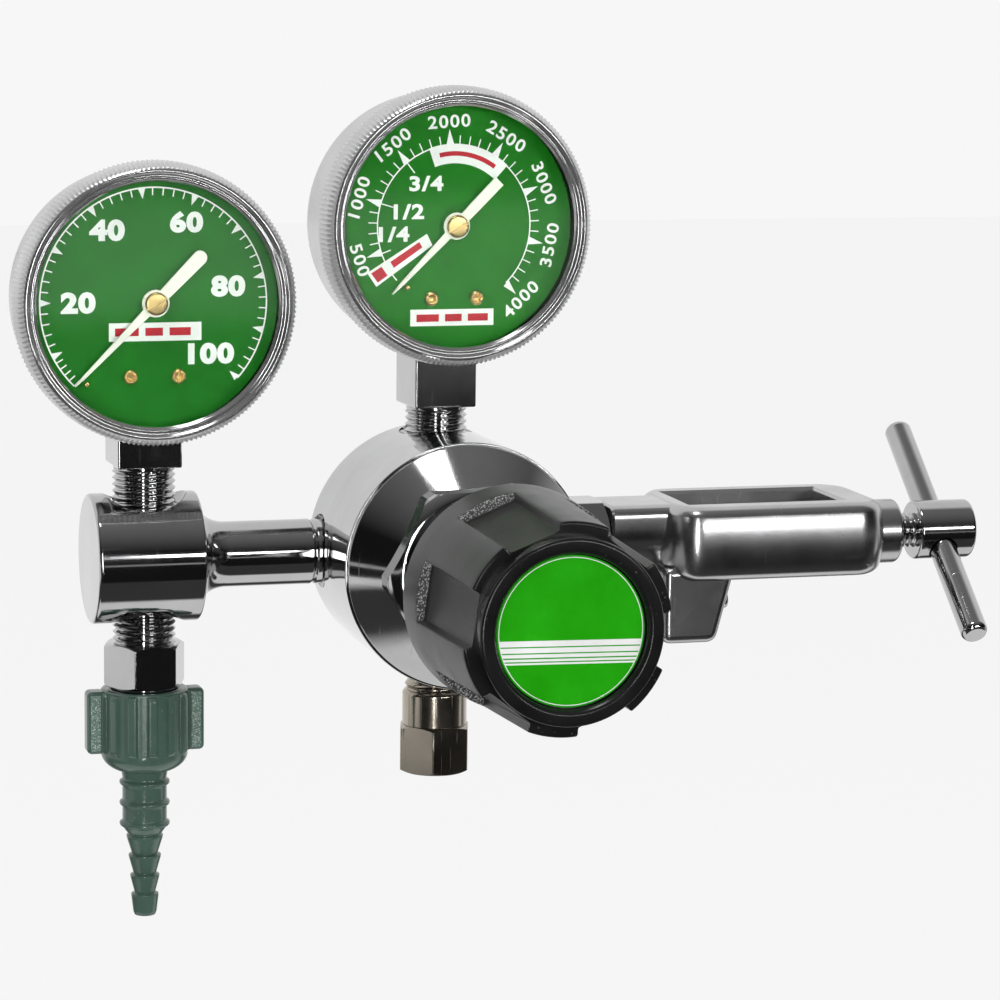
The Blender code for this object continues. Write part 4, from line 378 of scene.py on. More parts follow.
class RegulatorColours(bpy.types.PropertyGroup):
    """Colours of the regulator's finishes."""

    chrome: tone("Chrome", "Plated metal", (0.51, 0.51, 0.515))
    nickel: tone("Nickel", "Relief valve", (0.41, 0.37, 0.31))
    steel: tone("Steel", "Springs and pins", (0.55, 0.56, 0.58))
    brass: tone("Brass", "Gauge works, hubs and dial screws", (0.78, 0.56, 0.24))
    bronze: tone("Bronze", "Sintered inlet filter", (0.45, 0.30, 0.16))
    knob: tone("Knob", "Black plastic of the adjusting knob", (0.016, 0.016, 0.016))
    nut: tone("Wing nut", "Green plastic of the nut and barb", (0.054, 0.098, 0.078))
    rubber: tone("Rubber", "Washer and diaphragm", (0.02, 0.02, 0.02))
    label: tone("Label", "Field of the knob's label", (0.012, 0.325, 0.001))
    # A darker green than the right dial's, as painted shade on the left dial
    outlet_dial: tone("Outlet dial", "Left dial", (0.003, 0.128, 0.004))
    contents_dial: tone("Contents dial", "Right dial", (0.002, 0.137, 0.001))
    ink: tone("White ink", "Print on dials and label", (0.77, 0.78, 0.75))
    red_ink: tone("Red ink", "Bars and low range of the dials", (0.42, 0.006, 0.016))
    pointer: tone("Pointer", "Painted pointers", (0.77, 0.75, 0.66))


class RegulatorDetails(bpy.types.PropertyGroup):
    """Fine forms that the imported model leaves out."""

    pipe_pitch: length("Pipe thread pitch", "Rise of one turn", 1.41)
    thread_depth: length("Thread depth", "Crest to root", 0.62)
    knurls: IntProperty(name="Bezel knurls", description="Teeth round a bezel", default=180)
    knurl_depth: length("Knurl depth", "Crest to root", 0.34)
    edge: length("Edge rounding", "Rounding of the body's front rim", 0.35)
    print_lift: length("Print lift", "Height of print over its face", 0.04)


class RegulatorStudio(bpy.types.PropertyGroup):
    """Light, floor and camera."""

    backdrop: FloatProperty(name="Backdrop", description="Level of the background, 1 is white", default=0.93)
    floor_drop: length("Floor drop", "Floor below the barb's end", 80)
    overhead_power: power("Overhead lamp", "Power of the square lamp above", 1.8)
    strip_power: power("Strip lamp", "Power of the long lamp in front on the right", 1.8)
    front_power: power("Front lamp", "Power of the tall lamp in front", 2.5)


def colours():
    return bpy.context.scene.regulator_colours


def details():
    return bpy.context.scene.regulator_details


def studio():
    return bpy.context.scene.regulator_studio


# Finishes

# Rotation and scale of two crossing sets of fine scratches
STREAKS = (((0.4, 0.2, 0.9), (2200.0, 40.0, 90.0)), ((1.1, -0.6, 0.3), (60.0, 2600.0, 50.0)))
# A mix node's colour sockets, by number, since its sockets for other kinds have the same names
MIX_FIRST = 6
MIX_SECOND = 7
MIX_RESULT = 2


def node_group(name, inputs, outputs):
    group = bpy.data.node_groups.new(name, "ShaderNodeTree")
    for label, default in inputs.items():
        socket = group.interface.new_socket(name=label, in_out="INPUT", socket_type="NodeSocketFloat")
        socket.default_value = default
    for label in outputs:
        group.interface.new_socket(name=label, in_out="OUTPUT", socket_type="NodeSocketFloat")
    return group, group.nodes.new("NodeGroupInput"), group.nodes.new("NodeGroupOutput")


def noise(tree, vector, scale, detail=3.0, roughness=0.5):
    made = tree.nodes.new("ShaderNodeTexNoise")
    made.inputs["Scale"].default_value = scale
    made.inputs["Detail"].default_value = detail
    made.inputs["Roughness"].default_value = roughness
    tree.links.new(vector, made.inputs["Vector"])
    return made


def math_node(tree, operation, first, second):
    made = tree.nodes.new("ShaderNodeMath")
    made.operation = operation
    for socket, value in zip(made.inputs, (first, second)):
        if isinstance(value, (int, float)):
            socket.default_value = value
        else:
            tree.links.new(value, socket)
    return made.outputs["Value"]


def map_range(tree, value, low, high, new_low, new_high):
    made = tree.nodes.new("ShaderNodeMapRange")
    for label, number in (("From Min", low), ("From Max", high), ("To Min", new_low), ("To Max", new_high)):
        made.inputs[label].default_value = number
    tree.links.new(value, made.inputs["Value"])
    return made.outputs["Result"]


def handled_surface_group():
    """Smudges, fine scratches and grain over a surface, in the object's own metres."""
    group, given, result = node_group("handled_surface", {"Smudge Size": 60.0, "Grain Size": 2500.0},
                                      ("Smudge", "Scratches", "Grain"))
    point = own_place(group)
    smudge = noise(group, point, 60.0, 4.0, 0.6)
    group.links.new(given.outputs["Smudge Size"], smudge.inputs["Scale"])
    group.links.new(map_range(group, smudge.outputs["Fac"], 0.25, 0.80, 0.0, 1.0), result.inputs["Smudge"])
    grain = noise(group, point, 2500.0, 2.0)
    group.links.new(given.outputs["Grain Size"], grain.inputs["Scale"])
    group.links.new(grain.outputs["Fac"], result.inputs["Grain"])
    streaks = []
    for turn, stretch in STREAKS:
        mapping = group.nodes.new("ShaderNodeMapping")
        mapping.inputs["Rotation"].default_value = turn
        mapping.inputs["Scale"].default_value = stretch
        group.links.new(point, mapping.inputs["Vector"])
        lines = noise(group, mapping.outputs["Vector"], 1.0, 1.0)
        streaks.append(map_range(group, lines.outputs["Fac"], 0.70, 0.78, 0.0, 1.0))
    group.links.new(math_node(group, "MAXIMUM", *streaks), result.inputs["Scratches"])


def dust_group():
    """Pale specks: sparse ones as dust and flaws in plastic, dense ones where Cover is raised as painted
    glints.
    """
    group, given, result = node_group("specks", {"Scale": 900.0, "Cover": 0.0}, ("Specks",))
    point = own_place(group)
    cells = group.nodes.new("ShaderNodeTexVoronoi")
    group.links.new(point, cells.inputs["Vector"])
    group.links.new(given.outputs["Scale"], cells.inputs["Scale"])
    size = math_node(group, "MULTIPLY", given.outputs["Cover"], -0.3)
    near = map_range(group, math_node(group, "ADD", cells.outputs["Distance"], size), 0.10, 0.22, 1.0, 0.0)
    patches = noise(group, point, 140.0, 2.0)
    rare = map_range(group, patches.outputs["Fac"], 0.56, 0.66, 0.0, 1.0)
    # A raised Cover puts the specks everywhere, as painted glints
    rare = math_node(group, "MAXIMUM", rare, given.outputs["Cover"])
    group.links.new(math_node(group, "MULTIPLY", near, rare), result.inputs["Specks"])


def new_finish(name, colour, metallic=0.0, **sockets):
    if name in bpy.data.materials:
        raise RuntimeError("the packed model already holds a material of the name " + name)
    made = bpy.data.materials.new(name)
    made.use_nodes = True
    shader = made.node_tree.nodes["Principled BSDF"]
    shader.inputs["Base Color"].default_value = (*colour, 1.0)
    shader.inputs["Metallic"].default_value = metallic
    for label, value in sockets.items():
        shader.inputs[label.replace("_", " ")].default_value = value
    return made.node_tree, shader


def surface(tree, smudge_size=60.0, grain_size=2500.0):
    made = tree.nodes.new("ShaderNodeGroup")
    made.node_tree = bpy.data.node_groups["handled_surface"]
    made.inputs["Smudge Size"].default_value = smudge_size
    made.inputs["Grain Size"].default_value = grain_size
    return made


def mix_colour(tree, factor, first, second):
    """A mix of two colours, each a value or another node's output."""
    made = tree.nodes.new("ShaderNodeMix")
    made.data_type = "RGBA"
    for place, value in ((MIX_FIRST, first), (MIX_SECOND, second)):
        if isinstance(value, bpy.types.NodeSocket):
            tree.links.new(value, made.inputs[place])
        else:
            made.inputs[place].default_value = (*value, 1.0)
    tree.links.new(factor, made.inputs["Factor"])
    return made.outputs[MIX_RESULT]


def mix_shader(tree, factor, first, second):
    made = tree.nodes.new("ShaderNodeMixShader")
    tree.links.new(factor, made.inputs["Fac"])
    tree.links.new(first, made.inputs[1])
    tree.links.new(second, made.inputs[2])
    return made.outputs["Shader"]


def light_path(tree, ray):
    """1 for one kind of ray, 0 for the others."""
    return tree.nodes.new("ShaderNodeLightPath").outputs[ray]


def own_place(tree, kind="Object"):
    return tree.nodes.new("ShaderNodeTexCoord").outputs[kind]


def split_axes(tree, vector):
    made = tree.nodes.new("ShaderNodeSeparateXYZ")
    tree.links.new(vector, made.inputs["Vector"])
    return made.outputs


def bump(tree, shader, height, strength, distance):
    made = tree.nodes.new("ShaderNodeBump")
    made.inputs["Strength"].default_value = strength
    made.inputs["Distance"].default_value = distance
    tree.links.new(height, made.inputs["Height"])
    tree.links.new(made.outputs["Normal"], shader.inputs["Normal"])


def skin_height(tree, skin, grain, scratch):
    """Height of the grain, less the scratches cut into it."""
    raised = math_node(tree, "MULTIPLY", skin.outputs["Grain"], grain)
    cut = math_node(tree, "MULTIPLY", skin.outputs["Scratches"], scratch)
    return math_node(tree, "SUBTRACT", raised, cut)


def times(colour, factor):
    return tuple(factor * part for part in colour)


def metal(name, colour, smooth, dull, grain=0.1, grain_size=2500.0, scratch=0.3, wave=0.0, metallic=1.0):
    """A plated or bare metal: smudges dull it, scratches cut it, and a slow wave bends its reflections."""
    tree, shader = new_finish(name, colour, metallic)
    skin = surface(tree, 60.0, grain_size)
    base = mix_colour(tree, skin.outputs["Smudge"], colour, times(colour, 0.82))
    tree.links.new(base, shader.inputs["Base Color"])
    rough = map_range(tree, skin.outputs["Smudge"], 0.0, 1.0, smooth, dull)
    scratched = math_node(tree, "MULTIPLY", skin.outputs["Scratches"], scratch * 0.25)
    tree.links.new(math_node(tree, "ADD", rough, scratched), shader.inputs["Roughness"])
    height = skin_height(tree, skin, grain, scratch)
    if wave:
        slow = noise(tree, own_place(tree), 130.0, 2.0)
        height = math_node(tree, "ADD", height, math_node(tree, "MULTIPLY", slow.outputs["Fac"], wave))
    bump(tree, shader, height, 0.35, 0.00004)


def plastic(name, colour, smooth, dull, grain=0.5, grain_size=3000.0, specks=0.0, speck_scale=900.0,
            cover=0.0, **sockets):
    """A moulded plastic, paint or rubber with grain, handling marks and pale specks, which are dust where
    sparse and painted glints where dense.
    """
    tree, shader = new_finish(name, colour, 0.0, **sockets)
    skin = surface(tree, 90.0, grain_size)
    paler = tuple(min(1.0, 1.35 * part + 0.004) for part in colour)
    base = mix_colour(tree, skin.outputs["Smudge"], colour, paler)
    # Pale specks in the colour: dust where sparse, painted glints where cover is raised
    if specks:
        dust_and_glints = tree.nodes.new("ShaderNodeGroup")
        dust_and_glints.node_tree = bpy.data.node_groups["specks"]
        dust_and_glints.inputs["Scale"].default_value = speck_scale
        dust_and_glints.inputs["Cover"].default_value = cover
        base = mix_colour(tree, dust_and_glints.outputs["Specks"], base, (specks, specks, specks))
    tree.links.new(base, shader.inputs["Base Color"])
    rough = map_range(tree, skin.outputs["Smudge"], 0.0, 1.0, smooth, dull)
    tree.links.new(rough, shader.inputs["Roughness"])
    bump(tree, shader, skin_height(tree, skin, grain, 0.3), 0.5, 0.00005)


def crystal_finish():
    """Clear plastic window: shadows pass through it, so the dial behind it stays lit."""
    tree, shader = new_finish("crystal_clear", (0.97, 1.0, 0.98), 0.0, Transmission_Weight=1.0, IOR=1.45)
    skin = surface(tree, 40.0, 900.0)
    tree.links.new(map_range(tree, skin.outputs["Smudge"], 0.0, 1.0, 0.0, 0.06), shader.inputs["Roughness"])
    bump(tree, shader, skin.outputs["Scratches"], 0.1, 0.00001)
    clear = tree.nodes.new("ShaderNodeBsdfTransparent")
    clear.inputs["Color"].default_value = (0.93, 0.95, 0.93, 1.0)
    either = mix_shader(tree, light_path(tree, "Is Shadow Ray"), shader.outputs["BSDF"],
                        clear.outputs["BSDF"])
    tree.links.new(either, tree.nodes["Material Output"].inputs["Surface"])


def make_finishes():
    handled_surface_group()
    dust_group()
    tones = colours()
    metal("chrome_plate", tones.chrome, 0.05, 0.13, grain=0.05, wave=0.25)
    metal("forged_chrome", tones.chrome, 0.19, 0.30, grain=0.15, wave=0.5, scratch=0.15)
    metal("knurled_chrome", times(tones.chrome, 1.25), 0.22, 0.40, grain=0.5, grain_size=1800.0,
          metallic=0.55)
    metal("polished_bezel", tones.chrome, 0.10, 0.20, grain=0.2, metallic=0.85)
    metal("satin_chrome", times(tones.chrome, 1.15), 0.20, 0.34, grain=0.25)
    metal("nickel_plate", tones.nickel, 0.12, 0.26, grain=0.2, scratch=1.0)
    metal("bright_steel", tones.steel, 0.20, 0.34, grain=0.2)
    metal("turned_brass", tones.brass, 0.20, 0.36, grain=0.3, grain_size=1500.0, scratch=0.8)
    metal("sintered_bronze", tones.bronze, 0.5, 0.7, grain=2.5, grain_size=2600.0)
    plastic("knob_satin", tones.knob, 0.30, 0.42, grain=0.8, specks=0.10, speck_scale=1300.0)
    plastic("knob_gloss", times(tones.knob, 0.4), 0.16, 0.28, grain=0.25, specks=0.08, Specular_IOR_Level=0.3)
    # Ends of the flutes: grainy black made lighter, with dense pale specks as painted glints and sheen
    plastic("knob_grain", times(tones.knob, 3), 0.24, 0.40, grain=9.0, grain_size=1700.0,
            specks=0.60, speck_scale=2700.0, cover=0.75)
    plastic("hose_green", tones.nut, 0.12, 0.24, grain=0.9, grain_size=1800.0, specks=0.16)
    # Wing faces: a lighter frosted green, with dense pale specks as painted glints
    plastic("frosted_green", times(tones.nut, 1.7), 0.25, 0.40, grain=7.0, grain_size=1500.0,
            specks=0.7, speck_scale=2900.0, cover=0.65)
    plastic("label_sheet", tones.label, 0.22, 0.30, grain=0.2, Specular_IOR_Level=0.12)
    # The outlet dial's darker green is painted shade
    plastic("outlet_dial_green", tones.outlet_dial, 0.42, 0.55, grain=0.5, Specular_IOR_Level=0.12)
    plastic("contents_dial_green", tones.contents_dial, 0.42, 0.55, grain=0.5, Specular_IOR_Level=0.12)
    plastic("white_ink", tones.ink, 0.40, 0.50, grain=0.3)
    plastic("red_ink", tones.red_ink, 0.35, 0.45, grain=0.3, Specular_IOR_Level=0.2)
    plastic("pointer_paint", tones.pointer, 0.35, 0.48, grain=0.3)
    plastic("black_rubber", tones.rubber, 0.60, 0.75, grain=1.2)
    crystal_finish()


# Finish of each material slot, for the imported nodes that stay
SLOT_FINISHES = {
    "chrome": "chrome_plate", "nickel": "nickel_plate", "steel": "bright_steel", "brass": "turned_brass",
    "black_plastic": "knob_satin", "green_plastic": "hose_green", "label_green": "label_sheet",
    "dial_green": "outlet_dial_green", "pointer_white": "pointer_paint", "glass": "crystal_clear",
    "rubber": "black_rubber", "bronze": "sintered_bronze",
}


# Body and bonnet

BODY_RADIUS = 26.9
BODY_FRONT = 27.0
BODY_BACK = -12.0
BACK_BEVEL = 3.2
CHAMBER_RADIUS = 18.0
CHAMBER_FLOOR = 8.0
DIAPHRAGM_SEAT = 11.0
VALVE_RADIUS = 5.3
VALVE_BACK = -8.0
SPOT_RADIUS = 9.3
PORT_FACE = 24.7
PIPE_RADIUS = 6.85
PIPE_DEPTH = 8.0
SPIGOT_RADIUS = 24.2
SPIGOT_END = 14.0
SLIP_RING_WIDTH = 4.7
CONE_RADIUS = 26.4
TOWER_RADIUS = 17.4
TOWER_FRONT = 63.0
TOWER_BORE = 14.0
TOWER_WALL = 7.0
SCREW_HOLE = 5.3
HEX_FLATS = 36.7
HEX_FRONT = 40.5
HEX_CORNER = 20.5
HEX_TURN = 33.5


def port(surface_radius, face, spot_radius, way):
    """A cut for a port's spot face and threaded hole."""
    hole = PIPE_RADIUS + CLEARANCE
    floor = face - PIPE_DEPTH - 2 * CLEARANCE
    profile = [(0, surface_radius + CUT_OVER), (spot_radius + 0.7, surface_radius + CUT_OVER),
               (spot_radius, face + 0.4), (spot_radius - 0.4, face), (hole + 0.5, face), (hole, face - 0.5),
               (hole, floor), (0, floor)]
    return "DIFFERENCE", moved(lathe(profile, SMALL_SEGMENTS), way)


def body_shape(edge):
    bore = SPIGOT_RADIUS + CLEARANCE
    profile = [
        (0, VALVE_BACK), (VALVE_RADIUS, VALVE_BACK), (VALVE_RADIUS, CHAMBER_FLOOR),
        (CHAMBER_RADIUS, CHAMBER_FLOOR), (CHAMBER_RADIUS, DIAPHRAGM_SEAT), (bore, DIAPHRAGM_SEAT),
        (bore, BODY_FRONT, 0.2), (BODY_RADIUS, BODY_FRONT, edge), (BODY_RADIUS, BODY_BACK + BACK_BEVEL, 4.5),
        (BODY_RADIUS - BACK_BEVEL, BODY_BACK, 2.0), (0, BODY_BACK)]
    shape = moved(turned(profile, 0.0, steps=5, segments=SEGMENTS), FRONT_TURN)
    ways = [turned_by(angle, "Y") for angle in (0, 90, 180, -90)]
    return combine(shape, *[port(BODY_RADIUS, PORT_FACE + 0.5, SPOT_RADIUS - 1.2, way) for way in ways])


def bonnet_shape():
    flange = BODY_FRONT + CLEARANCE
    cone_top = flange + CONE_RADIUS - TOWER_RADIUS
    ring_inner = SPIGOT_RADIUS - SLIP_RING_WIDTH
    cavity = TOWER_FRONT - TOWER_WALL
    profile = [
        (SCREW_HOLE, TOWER_FRONT), (TOWER_RADIUS - 2.5, TOWER_FRONT, 0.6),
        (TOWER_RADIUS, TOWER_FRONT - 2.5, 0.8), (TOWER_RADIUS, cone_top, 1.6),
        (CONE_RADIUS, flange + 0.5, 0.3), (CONE_RADIUS, flange, 0.2), (SPIGOT_RADIUS, flange),
        (SPIGOT_RADIUS, SPIGOT_END), (ring_inner, SPIGOT_END), (ring_inner, flange - 3.0),
        (TOWER_BORE, flange + 2.5), (TOWER_BORE, cavity), (SCREW_HOLE, cavity)]
    cone = turned(profile, 0.0, closed=True, steps=4, segments=SEGMENTS)
    trim = [(0, flange), (HEX_CORNER, flange), (HEX_CORNER, HEX_FRONT - 1.7, 1.2),
            (HEX_CORNER - 2.6, HEX_FRONT, 1.2), (0, HEX_FRONT)]
    flats = hexagon(HEX_FLATS, flange + 1.5, HEX_FRONT, HEX_TURN, chamfered=False, edge=1.1)
    flats = combine(flats, ("INTERSECT", turned(trim, 0.0, steps=4, segments=SEGMENTS)),
                    ("DIFFERENCE", rod(TOWER_RADIUS - 1.0, flange - 1, HEX_FRONT + 1)))
    return combine(cone, ("UNION", flats))


class BodyOperator(bpy.types.Operator):
    """Make the regulator body and its bonnet"""

    bl_idname = "regulator.body"
    bl_label = "Body and bonnet"

    def execute(self, context):
        piece("body_forging", body_shape(details().edge / mm), BODY, "chrome_plate",
              "regulator", "regulator_body")
        piece("bonnet_cover", bonnet_shape(), FRONT, "chrome_plate", "regulator", "bonnet")
        return {"FINISHED"}


# Adjusting knob

KNOB_REAR = 60.0
KNOB_SHOULDER = 100.8
KNOB_FRONT = 104.0
KNOB_REAR_RADIUS = 23.1
KNOB_FRONT_RADIUS = 21.5
KNOB_RING = 18.8
KNOB_RECESS = 101.4
KNOB_HUB_END = 98.4
KNOB_HUB_REAR = 73.0
KNOB_BORE = 5.3
KNOB_INNER = 18.6
KNOB_TURN = 22.0
FLUTE_REAR = 70.0
FLUTE_DEPTH = 2.4
LOBES = 6
LABEL_RADIUS = 15.1
LABEL_FRONT = 102.2
LABEL_RIM = 14.55
RIM_LINE = 0.16
# Top and bottom of each white stripe across the label
STRIPES = ((-1.70, -2.85), (-3.10, -4.10), (-4.35, -5.05), (-5.32, -5.80), (-6.04, -6.42))
STRIPE_TURN = -1.1
# Half of a flute and its lobe: degrees from the flute's middle, and how far the floor is cut there
FLUTE_SECTION = ((0.0, 1.0), (3.0, 1.0), (6.0, 1.0), (9.0, 1.0), (12.0, 1.0), (14.4, 1.0), (15.3, 0.97),
                 (15.7, 0.7), (15.95, 0.22), (16.3, 0.06), (17.0, 0.0), (19.5, 0.0), (22.0, 0.0),
                 (25.0, 0.0), (28.0, 0.0))
# Rise from the flute's rear end, and the share of its depth there
FLUTE_END = ((-0.1, 0.03), (0.05, 0.12), (0.12, 0.9), (0.5, 1))
# Drop behind the shoulder, and how far the edge is drawn in there
KNOB_EDGE = ((0.6, 0.0), (0.3, 0.08), (0.08, 0.3), (0.0, 0.6))


def knob_outer(height):
    share = (height - KNOB_REAR) / (KNOB_SHOULDER - KNOB_REAR)
    return KNOB_REAR_RADIUS + (KNOB_FRONT_RADIUS - KNOB_REAR_RADIUS) * share


def knob_shape():
    mirrored = [(-offset, cut) for offset, cut in reversed(FLUTE_SECTION[1:])] + list(FLUTE_SECTION)
    columns = mirrored * LOBES
    angles = []
    for lobe in range(LOBES):
        centre = KNOB_TURN + (lobe + 0.5) * 360 / LOBES
        angles += [math.radians(centre + offset) for offset, cut in mirrored]
    floor_rear = knob_outer(FLUTE_REAR) - FLUTE_DEPTH
    floor_front = KNOB_RING + 0.15

    def fluted(height, depth, inset=0.0):
        share = (height - FLUTE_REAR) / (KNOB_SHOULDER - FLUTE_REAR)
        floor = floor_rear + (floor_front - floor_rear) * share
        outer = knob_outer(height) - inset
        radii = []
        for offset, cut in columns:
            low = min(outer, floor / math.cos(math.radians(offset)))
            radii.append(outer + (low - outer) * cut * depth)
        return height, radii

    levels = [(KNOB_HUB_END, 0), (KNOB_HUB_END, KNOB_BORE), (KNOB_HUB_REAR, KNOB_BORE),
              (KNOB_HUB_REAR, KNOB_INNER), (KNOB_REAR + 0.3, KNOB_INNER), (KNOB_REAR, KNOB_INNER + 0.3),
              (KNOB_REAR, 21.9), (KNOB_REAR + 0.12, 22.5), (KNOB_REAR + 0.5, 22.9)]
    levels += [fluted(KNOB_REAR + 1.2, 0), fluted(FLUTE_REAR - 3, 0), fluted(FLUTE_REAR - 0.4, 0)]
    levels += [fluted(FLUTE_REAR + rise, depth) for rise, depth in FLUTE_END]
    levels += [fluted(FLUTE_REAR + 2 + 5.4 * i, 1) for i in range(6)]
    levels += [fluted(KNOB_SHOULDER - drop, 1, inset) for drop, inset in KNOB_EDGE]
    seat = LABEL_RADIUS + CLEARANCE
    front = soften([(KNOB_RING, KNOB_SHOULDER), (KNOB_RING, KNOB_FRONT, 0.9), (16.1, KNOB_FRONT, 0.7),
                    (seat, KNOB_FRONT - 0.9, 0.4), (seat, KNOB_RECESS), (0, KNOB_RECESS)], 0.0, steps=4)
    levels += [(height, radius) for radius, height in front]
    return loft(levels, angles)


def knob_finish(centre, normal):
    """0 satin lobes, 1 gloss front, 2 grainy ends of the flutes, with painted glints and sheen."""
    if centre.z > KNOB_SHOULDER - 0.2:
        return 1
    radius = math.hypot(centre.x, centre.y)
    at_end = FLUTE_REAR - 0.05 < centre.z < FLUTE_REAR + 0.2
    return 2 if at_end and radius < knob_outer(FLUTE_REAR) - 0.05 else 0


def facing_out(shape):
    for face in shape.faces:
        face.normal_update()
        if face.normal.z < 0:
            face.normal_flip()
    return shape


def flat_print(outlines, height):
    """Ink laid flat on a face: closed outlines at one height."""
    shape = bmesh.new()
    for outline in outlines:
        shape.faces.new([shape.verts.new((x, y, height)) for x, y in outline])
    return facing_out(shape)


def ring_print(inner, outer, start, end, height, steps=96):
    """An arc of ink between two radii, from one angle to another in degrees."""
    shape = bmesh.new()
    rows = []
    for i in range(steps + 1):
        angle = start + (end - start) * i / steps
        rows.append([shape.verts.new((*polar(radius, angle), height)) for radius in (inner, outer)])
    for (a, b), (c, d) in zip(rows, rows[1:]):
        shape.faces.new((a, b, d, c))
    return facing_out(shape)


class KnobOperator(bpy.types.Operator):
    """Make the adjusting knob and its label"""

    bl_idname = "regulator.knob"
    bl_label = "Adjusting knob"

    def execute(self, context):
        finishes = ["knob_satin", "knob_gloss", "knob_grain"]
        piece("knob_moulding", knob_shape(), FRONT, finishes, "knob", "adjusting_knob",
              knob_finish)
        low = KNOB_RECESS + CLEARANCE
        disc = [(0, low), (LABEL_RADIUS, low), (LABEL_RADIUS, LABEL_FRONT, 0.2), (0, LABEL_FRONT)]
        piece("label_disc", turned(disc, 0.1, segments=SEGMENTS), FRONT, "label_sheet",
              "knob", "knob_label")
        height = LABEL_FRONT + details().print_lift / mm
        ink = [ring_print(LABEL_RIM, LABEL_RIM + RIM_LINE, 0, 360, height, 128)]
        for high, low in STRIPES:
            left = [(-math.sqrt(LABEL_RIM ** 2 - y ** 2), y) for y in (low, high)]
            outline = left + [(-x, y) for x, y in reversed(left)]
            ink.append(moved(flat_print([outline], height), turned_by(STRIPE_TURN, "Z")))
        piece("label_stripes", together(*ink), FRONT, "white_ink", "knob")
        return {"FINISHED"}


# Outlet manifold and nipple

MANIFOLD_RADIUS = 14.15
MANIFOLD_LEFT = OUTLET_X - 12.05
MANIFOLD_RIGHT = OUTLET_X + 11.25
MANIFOLD_FACE = MANIFOLD_RADIUS - 3.6
MANIFOLD_SPOT = 8.8
ARM_RADIUS = 7.15
FLARE = 6.5
NIPPLE_HEX_TOP = -18.5
NIPPLE_HEX_BOTTOM = -28.1
NIPPLE_END = -38.0


def manifold_shape():
    flare_end = MANIFOLD_RIGHT + FLARE
    rise = 0.9 * MANIFOLD_RADIUS - ARM_RADIUS
    flare = [(ARM_RADIUS + rise * (1 + across), flare_end + FLARE * along)
             for across, along in arc((0, 0), 1.0, math.pi, 1.5 * math.pi, 14)]
    entry = -PORT_FACE
    collar = entry - 3.5
    root = ARM_RADIUS - 0.6
    profile = [(0, entry + 6.0), (root, entry + 6.0), (root, entry - CLEARANCE)]
    profile += soften([(ARM_RADIUS - 1.0, entry - 0.3), (ARM_RADIUS - 0.1, entry - 1.1, 0.4),
                       (ARM_RADIUS, collar + 0.5, 0.2), (ARM_RADIUS - 0.5, collar, 0.2),
                       (ARM_RADIUS + 0.05, collar - 0.5, 0.4), (ARM_RADIUS, collar - 2.2, 0.8),
                       (ARM_RADIUS, flare_end)], 0.3)
    profile += flare[1:]
    profile += soften([(12.9, MANIFOLD_RIGHT), (MANIFOLD_RADIUS, MANIFOLD_RIGHT, 1.3),
                       (MANIFOLD_RADIUS, MANIFOLD_LEFT, 0.9), (0, MANIFOLD_LEFT)], 0.5, steps=5)
    shape = moved(lathe(profile), CLAMP_TURN)
    ways = [shift(OUTLET_X) @ turned_by(angle, "Y") for angle in (0, 180)]
    return combine(shape, *[port(MANIFOLD_RADIUS, MANIFOLD_FACE, MANIFOLD_SPOT, way) for way in ways])


def nipple_shape():
    top, bottom = NIPPLE_HEX_TOP, NIPPLE_HEX_BOTTOM
    tail = soften([(3.4, bottom + 1), (7.0, bottom + 1), (7.0, NIPPLE_END, 0.8), (3.4, NIPPLE_END)])
    neck = rod(6.3, bottom - 0.6, bottom + 0.5)
    return together(hexagon(15.9, bottom, top, -22.4), pipe_thread(PIPE_RADIUS, top - 0.5, -8.5), neck,
                    lathe(tail, SMALL_SEGMENTS, closed=True))


class OutletOperator(bpy.types.Operator):
    """Make the outlet manifold and the threaded nipple under it"""

    bl_idname = "regulator.outlet"
    bl_label = "Outlet manifold"

    def execute(self, context):
        piece("manifold_block", manifold_shape(), BODY, "chrome_plate",
              "regulator", "outlet_manifold")
        piece("hose_nipple", nipple_shape(), OUTLET, "chrome_plate", "regulator", "outlet_nipple")
        return {"FINISHED"}


# Wing nut and hose barb

NUT_TOP = -28.7
NUT_BOTTOM = -46.8
NUT_RIBS = 14
NUT_TURN = 13.0
NUT_RADIUS = 10.3
NUT_VALLEY = 9.35
NUT_BORE = 7.3
NUT_HOLE = 5.5
NUT_SEAT = -43.4
WING_ROOT = 8.7
WING_TIP = 12.9
WING_HALF = 2.5
WING_TOP = -29.0
WING_BOTTOM = -42.8
# Half of a rib, as shares of one rib's turn, and its rise
RIB_SECTION = ((0.0, 1.0), (0.08, 1.0), (0.15, 0.98), (0.19, 0.90), (0.212, 0.62), (0.235, 0.22),
               (0.265, 0.04), (0.33, 0.0), (0.42, 0.0), (0.49, 0.0))
# Height and the share of the ribs' rise at it
RIB_ENDS = ((-29.25, 0.0), (-29.35, 0.35), (-29.6, 0.72), (-30.0, 0.93), (-30.5, 1.0), (-34.0, 1.0),
            (-38.0, 1.0), (-41.4, 1.0), (-41.9, 0.92), (-42.3, 0.7), (-42.55, 0.35), (-42.65, 0.0))
DOME = ((-43.4, 9.45), (-44.2, 9.2), (-45.0, 8.7), (-45.7, 8.0), (-46.25, 7.2), (-46.6, 6.5), (-46.8, 5.9))
BARB_STEM = 4.86
BEADS = (-49.7, -54.3, -58.9)
BEAD_SECTION = ((BARB_STEM, 0.75), (5.5, 0.3), (5.5, -0.3), (BARB_STEM, -0.75))
# Height and radius of each tooth's top
TEETH = ((-61.6, 4.0), (-66.0, 3.55), (-70.5, 3.2), (-74.8, 3.0))
BARB_END = -79.6


